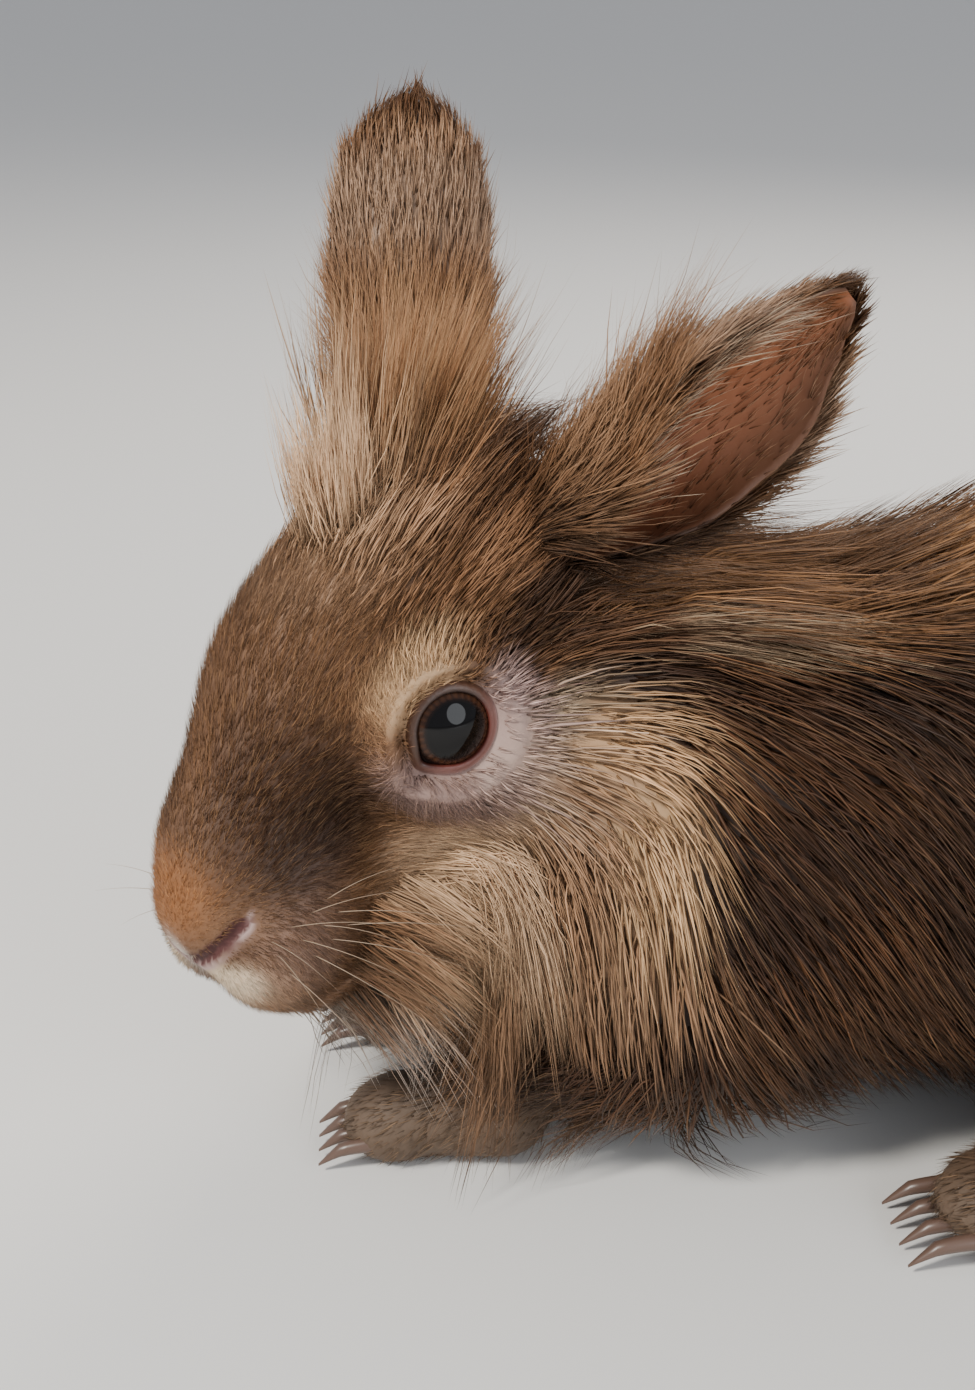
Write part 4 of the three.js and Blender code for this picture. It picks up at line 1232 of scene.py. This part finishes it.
def ear_sheet(name, ear):
    """The ear's own skin: a bent sheet with an outer side, an inner side and a rim all round."""
    along, across = np.linspace(EAR_FOOT, 1, EAR_RINGS), np.linspace(-1, 1, EAR_STEPS)
    t, s = [g.ravel() for g in np.meshgrid(along, across, indexing="ij")]
    outer = ear_point(ear, t, s, np.full(len(t), EAR_SKIN / 2))
    inner = ear_point(ear, t, s, np.full(len(t), -EAR_SKIN / 2))
    count = len(outer)
    quads = []

    def rim(a, step, flip):
        quad = [a, a + step, count + a + step, count + a]
        quads.append(quad[::-1] if flip else quad)

    for r in range(EAR_RINGS - 1):
        start = r * EAR_STEPS
        for a in range(start, start + EAR_STEPS - 1):
            quad = [a, a + 1, a + 1 + EAR_STEPS, a + EAR_STEPS]
            quads.append(quad)
            quads.append([count + corner for corner in quad[::-1]])
        rim(start, EAR_STEPS, False)
        rim(start + EAR_STEPS - 1, EAR_STEPS, True)
    for start, flip in ((0, True), ((EAR_RINGS - 1) * EAR_STEPS, False)):
        for a in range(start, start + EAR_STEPS - 1):
            rim(a, 1, flip)
    colour = np.concatenate([ear_colour(outer, t, s, 0.0) * 0.6, ear_colour(outer, t, s, 1.0)])
    sheet = face_object(f"ear_skin_{name}", np.concatenate([outer, inner]), quads, ear_skin_material,
                        colours=colour)
    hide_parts(f"ear_{name}")


def ear_fur(name, label, number, t_range, s_range, outside, length, width, lift, steps, tip=None):
    """Fur between these shares of the ear's length and of the way across it."""
    ear, number = EARS[name], int(number * QUICK)
    t, s = rng.uniform(*t_range, number), rng.uniform(*s_range, number)
    sign = 1 if outside else -1
    base = np.full(number, sign * EAR_SKIN / 2)
    here = ear_point(ear, t, s, base)
    up = unit(ear_point(ear, np.minimum(t + 0.02, 1.0), s, base) - ear_point(ear, t - 0.02, s, base))
    normal = unit(ear_point(ear, t, s, base + sign) - here)
    out = unit(ear_point(ear, t, np.clip(s + 0.05 * np.sign(s), -1.4, 1.4), base) - here)
    edge = ramp(0.75, 1.0, np.abs(s))[:, None]
    heading = unit(up + 0.35 * out * edge + rng.normal(0, 0.13, (number, 3)))
    long = length * scatter(0.2, number) * (1 - 0.35 * ramp(0.7, 1, t))
    path = [here - normal * 0.3]
    for share in np.arange(1, steps + 1) / steps:
        rise = lift * rng.uniform(0.5, 1.3, number) * share**0.8
        path.append(here + heading * (long * share)[:, None] + normal * rise[:, None])
    taper = 1 - np.linspace(0, 1, steps + 1)**2
    widths = width * scatter(0.2, number, 1) * taper / 2
    mid = vary(ear_colour(here, t, s, 0.0 if outside else 0.55), 0.15)
    ends = agouti(mid) if tip is None else blend(mid, tip, rng.uniform(0.3, 1, number))
    coat_pieces(f"fur_ear_{name}_{label}", np.stack(path, 1), widths, (mid * 0.6, mid, ends), 0.4, 0.5,
                place=here, up=np.repeat(normal[:, None], steps + 1, 1))


ear_skin_material = skin_look("ear_skin", 0.6, 700, 0.3)
for name, ear in EARS.items():
    ear_sheet(name, ear)
    # Label, count, ranges along and across the ear, outside or not, length, width, lift and steps
    ear_fur(name, "back", 4700, (-0.18, 0.99), (-1.05, 1.05), True, 7.5, 0.29, 1.3, 2)
    ear_fur(name, "root", 1300, (-0.18, 0.4), (-1.0, 1.0), True, 13, 0.25, 4.0, 3, tip=BROWN)
    ear_fur(name, "plume", 500, (-0.05, ear["plume_end"]), ear["plume"], True, 17, 0.2, 5.0, 3, tip=TAN)
    ear_fur(name, "inside", 1100, (0.1, 0.95), (-0.98, 0.98), False, 4.0, 0.2, 0.6, 2, tip=TAN)
    ear_fur(name, "fringe", 600, (0.08, 0.7), ear["fringe"], False, 11, 0.26, 2.5, 3, tip=CREAM)
    ear_fur(name, "rim", 800, (-0.1, 1.0), (0.93, 1.03), True, 6, 0.3, 1.0, 2)
    ear_fur(name, "rim_b", 800, (-0.1, 1.0), (-1.03, -0.93), True, 6, 0.3, 1.0, 2)

# Whiskers and claws


def tubes(name, paths, across, up, radii, sides, material, colour=None):
    """Tubes with flat ends along these paths. across and up span their rings."""
    turn = np.arange(sides)[:, None] * 2 * np.pi / sides
    rim = across[:, :, None] * np.cos(turn) + up[:, :, None] * np.sin(turn)
    points = (paths[:, :, None] + rim * radii[None, :, None, None]).reshape(-1, 3)
    rings = len(radii)
    faces = []
    for base in range(0, len(points), rings * sides):
        end = base + (rings - 1) * sides
        faces.extend(ring_quads(rings, sides) + base)
        faces.append(range(base + sides - 1, base - 1, -1))
        faces.append(range(end, end + sides))
    colours = None if colour is None else np.tile(colour, (len(points), 1))
    face_object(name, points, faces, material, colours=colours)


def whiskers():
    """Three rows of four on each side of the muzzle."""
    roots, ways = [], []
    for sign in (1, -1):
        for row in range(3):
            for i in range(4):
                roots.append([sign * (12 + 0.5 * i), -38 + 3.2 * i, -13 - 2.6 * row])
                ways.append([sign * (0.8 + 0.05 * i), -0.1 + 0.28 * i, 0.25 - 0.22 * row])
    ways = unit(np.array(ways) + rng.normal(0, 0.08, (len(ways), 3))) @ HEAD_TURN.T
    lengths = rng.uniform(*WHISKER_LENGTHS, len(roots))[:, None, None]
    t = np.linspace(0, 1, WHISKER_RINGS)[None, :, None]
    paths = from_head(on_head(roots))[:, None] + ways[:, None] * lengths * t + DOWN * WHISKER_DROOP * t**2
    ahead = unit(np.gradient(paths, axis=1))
    across = unit(np.cross(ahead, [0.2, 0.1, 1.0]))
    radii = WHISKER_RADIUS * (1 - np.linspace(0, 0.93, WHISKER_RINGS))
    tubes("whiskers", paths, across, np.cross(ahead, across), radii, WHISKER_SIDES, skin_material,
          tone(150, 130, 110))


def claws(foot, side, sign):
    """The claws of a foot, side by side and a little splayed."""
    middle, spread, line = CLAWS[foot]
    t = np.linspace(0, 1, CLAW_RINGS)
    bends = (0, CLAW_BEND, 1)
    y, z, radii = [np.interp(t, bends, values) for values in (*np.array(line).T, CLAW_RADII)]
    z = z + CLAW_ARCH * np.sin(np.pi * t)
    aside = (np.arange(CLAW_COUNT)[:, None] - (CLAW_COUNT - 1) / 2) * spread
    x = sign * (middle + aside) + sign * aside * CLAW_SPLAY * t
    paths = np.stack([x, y + 0 * x, z + 0 * x], -1)
    across, up = [np.broadcast_to(axis, paths.shape) for axis in np.eye(3)[[0, 2]]]
    tubes(f"claws_{foot}_{side}", paths, across, up, radii, CLAW_SIDES, claw_material)


whiskers()
claw_material = plain_look("claw", tone(92, 72, 62), 0.35)
for foot in CLAWS:
    claws(foot, "left", 1)
    claws(foot, "right", -1)

# Floor, light and camera

FLOOR = 15  # half its side, in metres
floor_mesh = bpy.data.meshes.new("floor")
floor_corners = [(x * FLOOR, y * FLOOR, 0) for x, y in ((-1, -1), (1, -1), (1, 1), (-1, 1))]
floor_mesh.from_pydata(floor_corners, [], [(0, 1, 2, 3)])
floor = linked("floor", floor_mesh)
floor_mesh.materials.append(plain_look("floor", (0.72, 0.71, 0.69), 0.9))


def soft_light(name, place, target, size, power, colour=(1, 1, 1)):
    light = bpy.data.lights.new(name, "AREA")
    light.shape = "DISK"
    light.size = size
    light.energy = power
    light.color = colour
    obj = linked(name, light)
    obj.location = place
    obj.rotation_euler = (Vector(target) - Vector(place)).to_track_quat("-Z", "Y").to_euler()


head_place = (HEAD_AT + OFFSET) * MM
soft_light("key", (0.5, -0.66, 0.78), head_place, 0.17, 14, (1, 0.96, 0.89))
soft_light("fill", (0.7, 0.5, 0.4), (0, 0.02, 0.06), 0.7, 5, (0.92, 0.96, 1))
soft_light("rim", (-0.6, 0.35, 0.7), (0, -0.05, 0.08), 0.5, 5.5, (1, 0.92, 0.82))
world_look = bpy.data.worlds.new("world")
bpy.context.scene.world = world_look
world_look.use_nodes = True
sky = world_look.node_tree.nodes["Background"]
sky.inputs["Color"].default_value = (0.9, 0.93, 1, 1)
sky.inputs["Strength"].default_value = 0.55

# The photograph's viewpoint: left of the head, looking a little down. The left eye stands at
# this place of the picture, in its own pixels.

PICTURE = (975, 1390)
EYE_PIXEL = (470, 728)
AZIMUTH, ELEVATION = math.radians(86), math.radians(23)
FOCAL = 1830  # pixels
DISTANCE = 262  # millimetres from the front of the eye
EYE_FRONT = np.array([22.9, 0, 0])
SENSOR = 24
back = np.array([
    math.sin(AZIMUTH) * math.cos(ELEVATION), -math.cos(AZIMUTH) * math.cos(ELEVATION), math.sin(ELEVATION)])
right = unit(np.cross(-back, [0, 0, 1]))
up = np.cross(right, -back)
from_middle = (EYE_PIXEL[0] - PICTURE[0] / 2, PICTURE[1] / 2 - EYE_PIXEL[1])
camera_at = from_head(EYE_FRONT[None])[0] + OFFSET + back * DISTANCE
camera_at = camera_at - (right * from_middle[0] + up * from_middle[1]) * DISTANCE / FOCAL
camera_data = bpy.data.cameras.new("camera")
camera_data.sensor_fit = "VERTICAL"
camera_data.sensor_height = SENSOR
camera_data.lens = SENSOR * FOCAL / PICTURE[1]
camera_data.clip_start = 0.01
camera = linked("camera", camera_data)
turn = Matrix(np.stack([right, up, back], 1).tolist()).to_4x4()
turn.translation = Vector((camera_at * MM).tolist())
camera.matrix_world = turn
bpy.context.scene.camera = camera
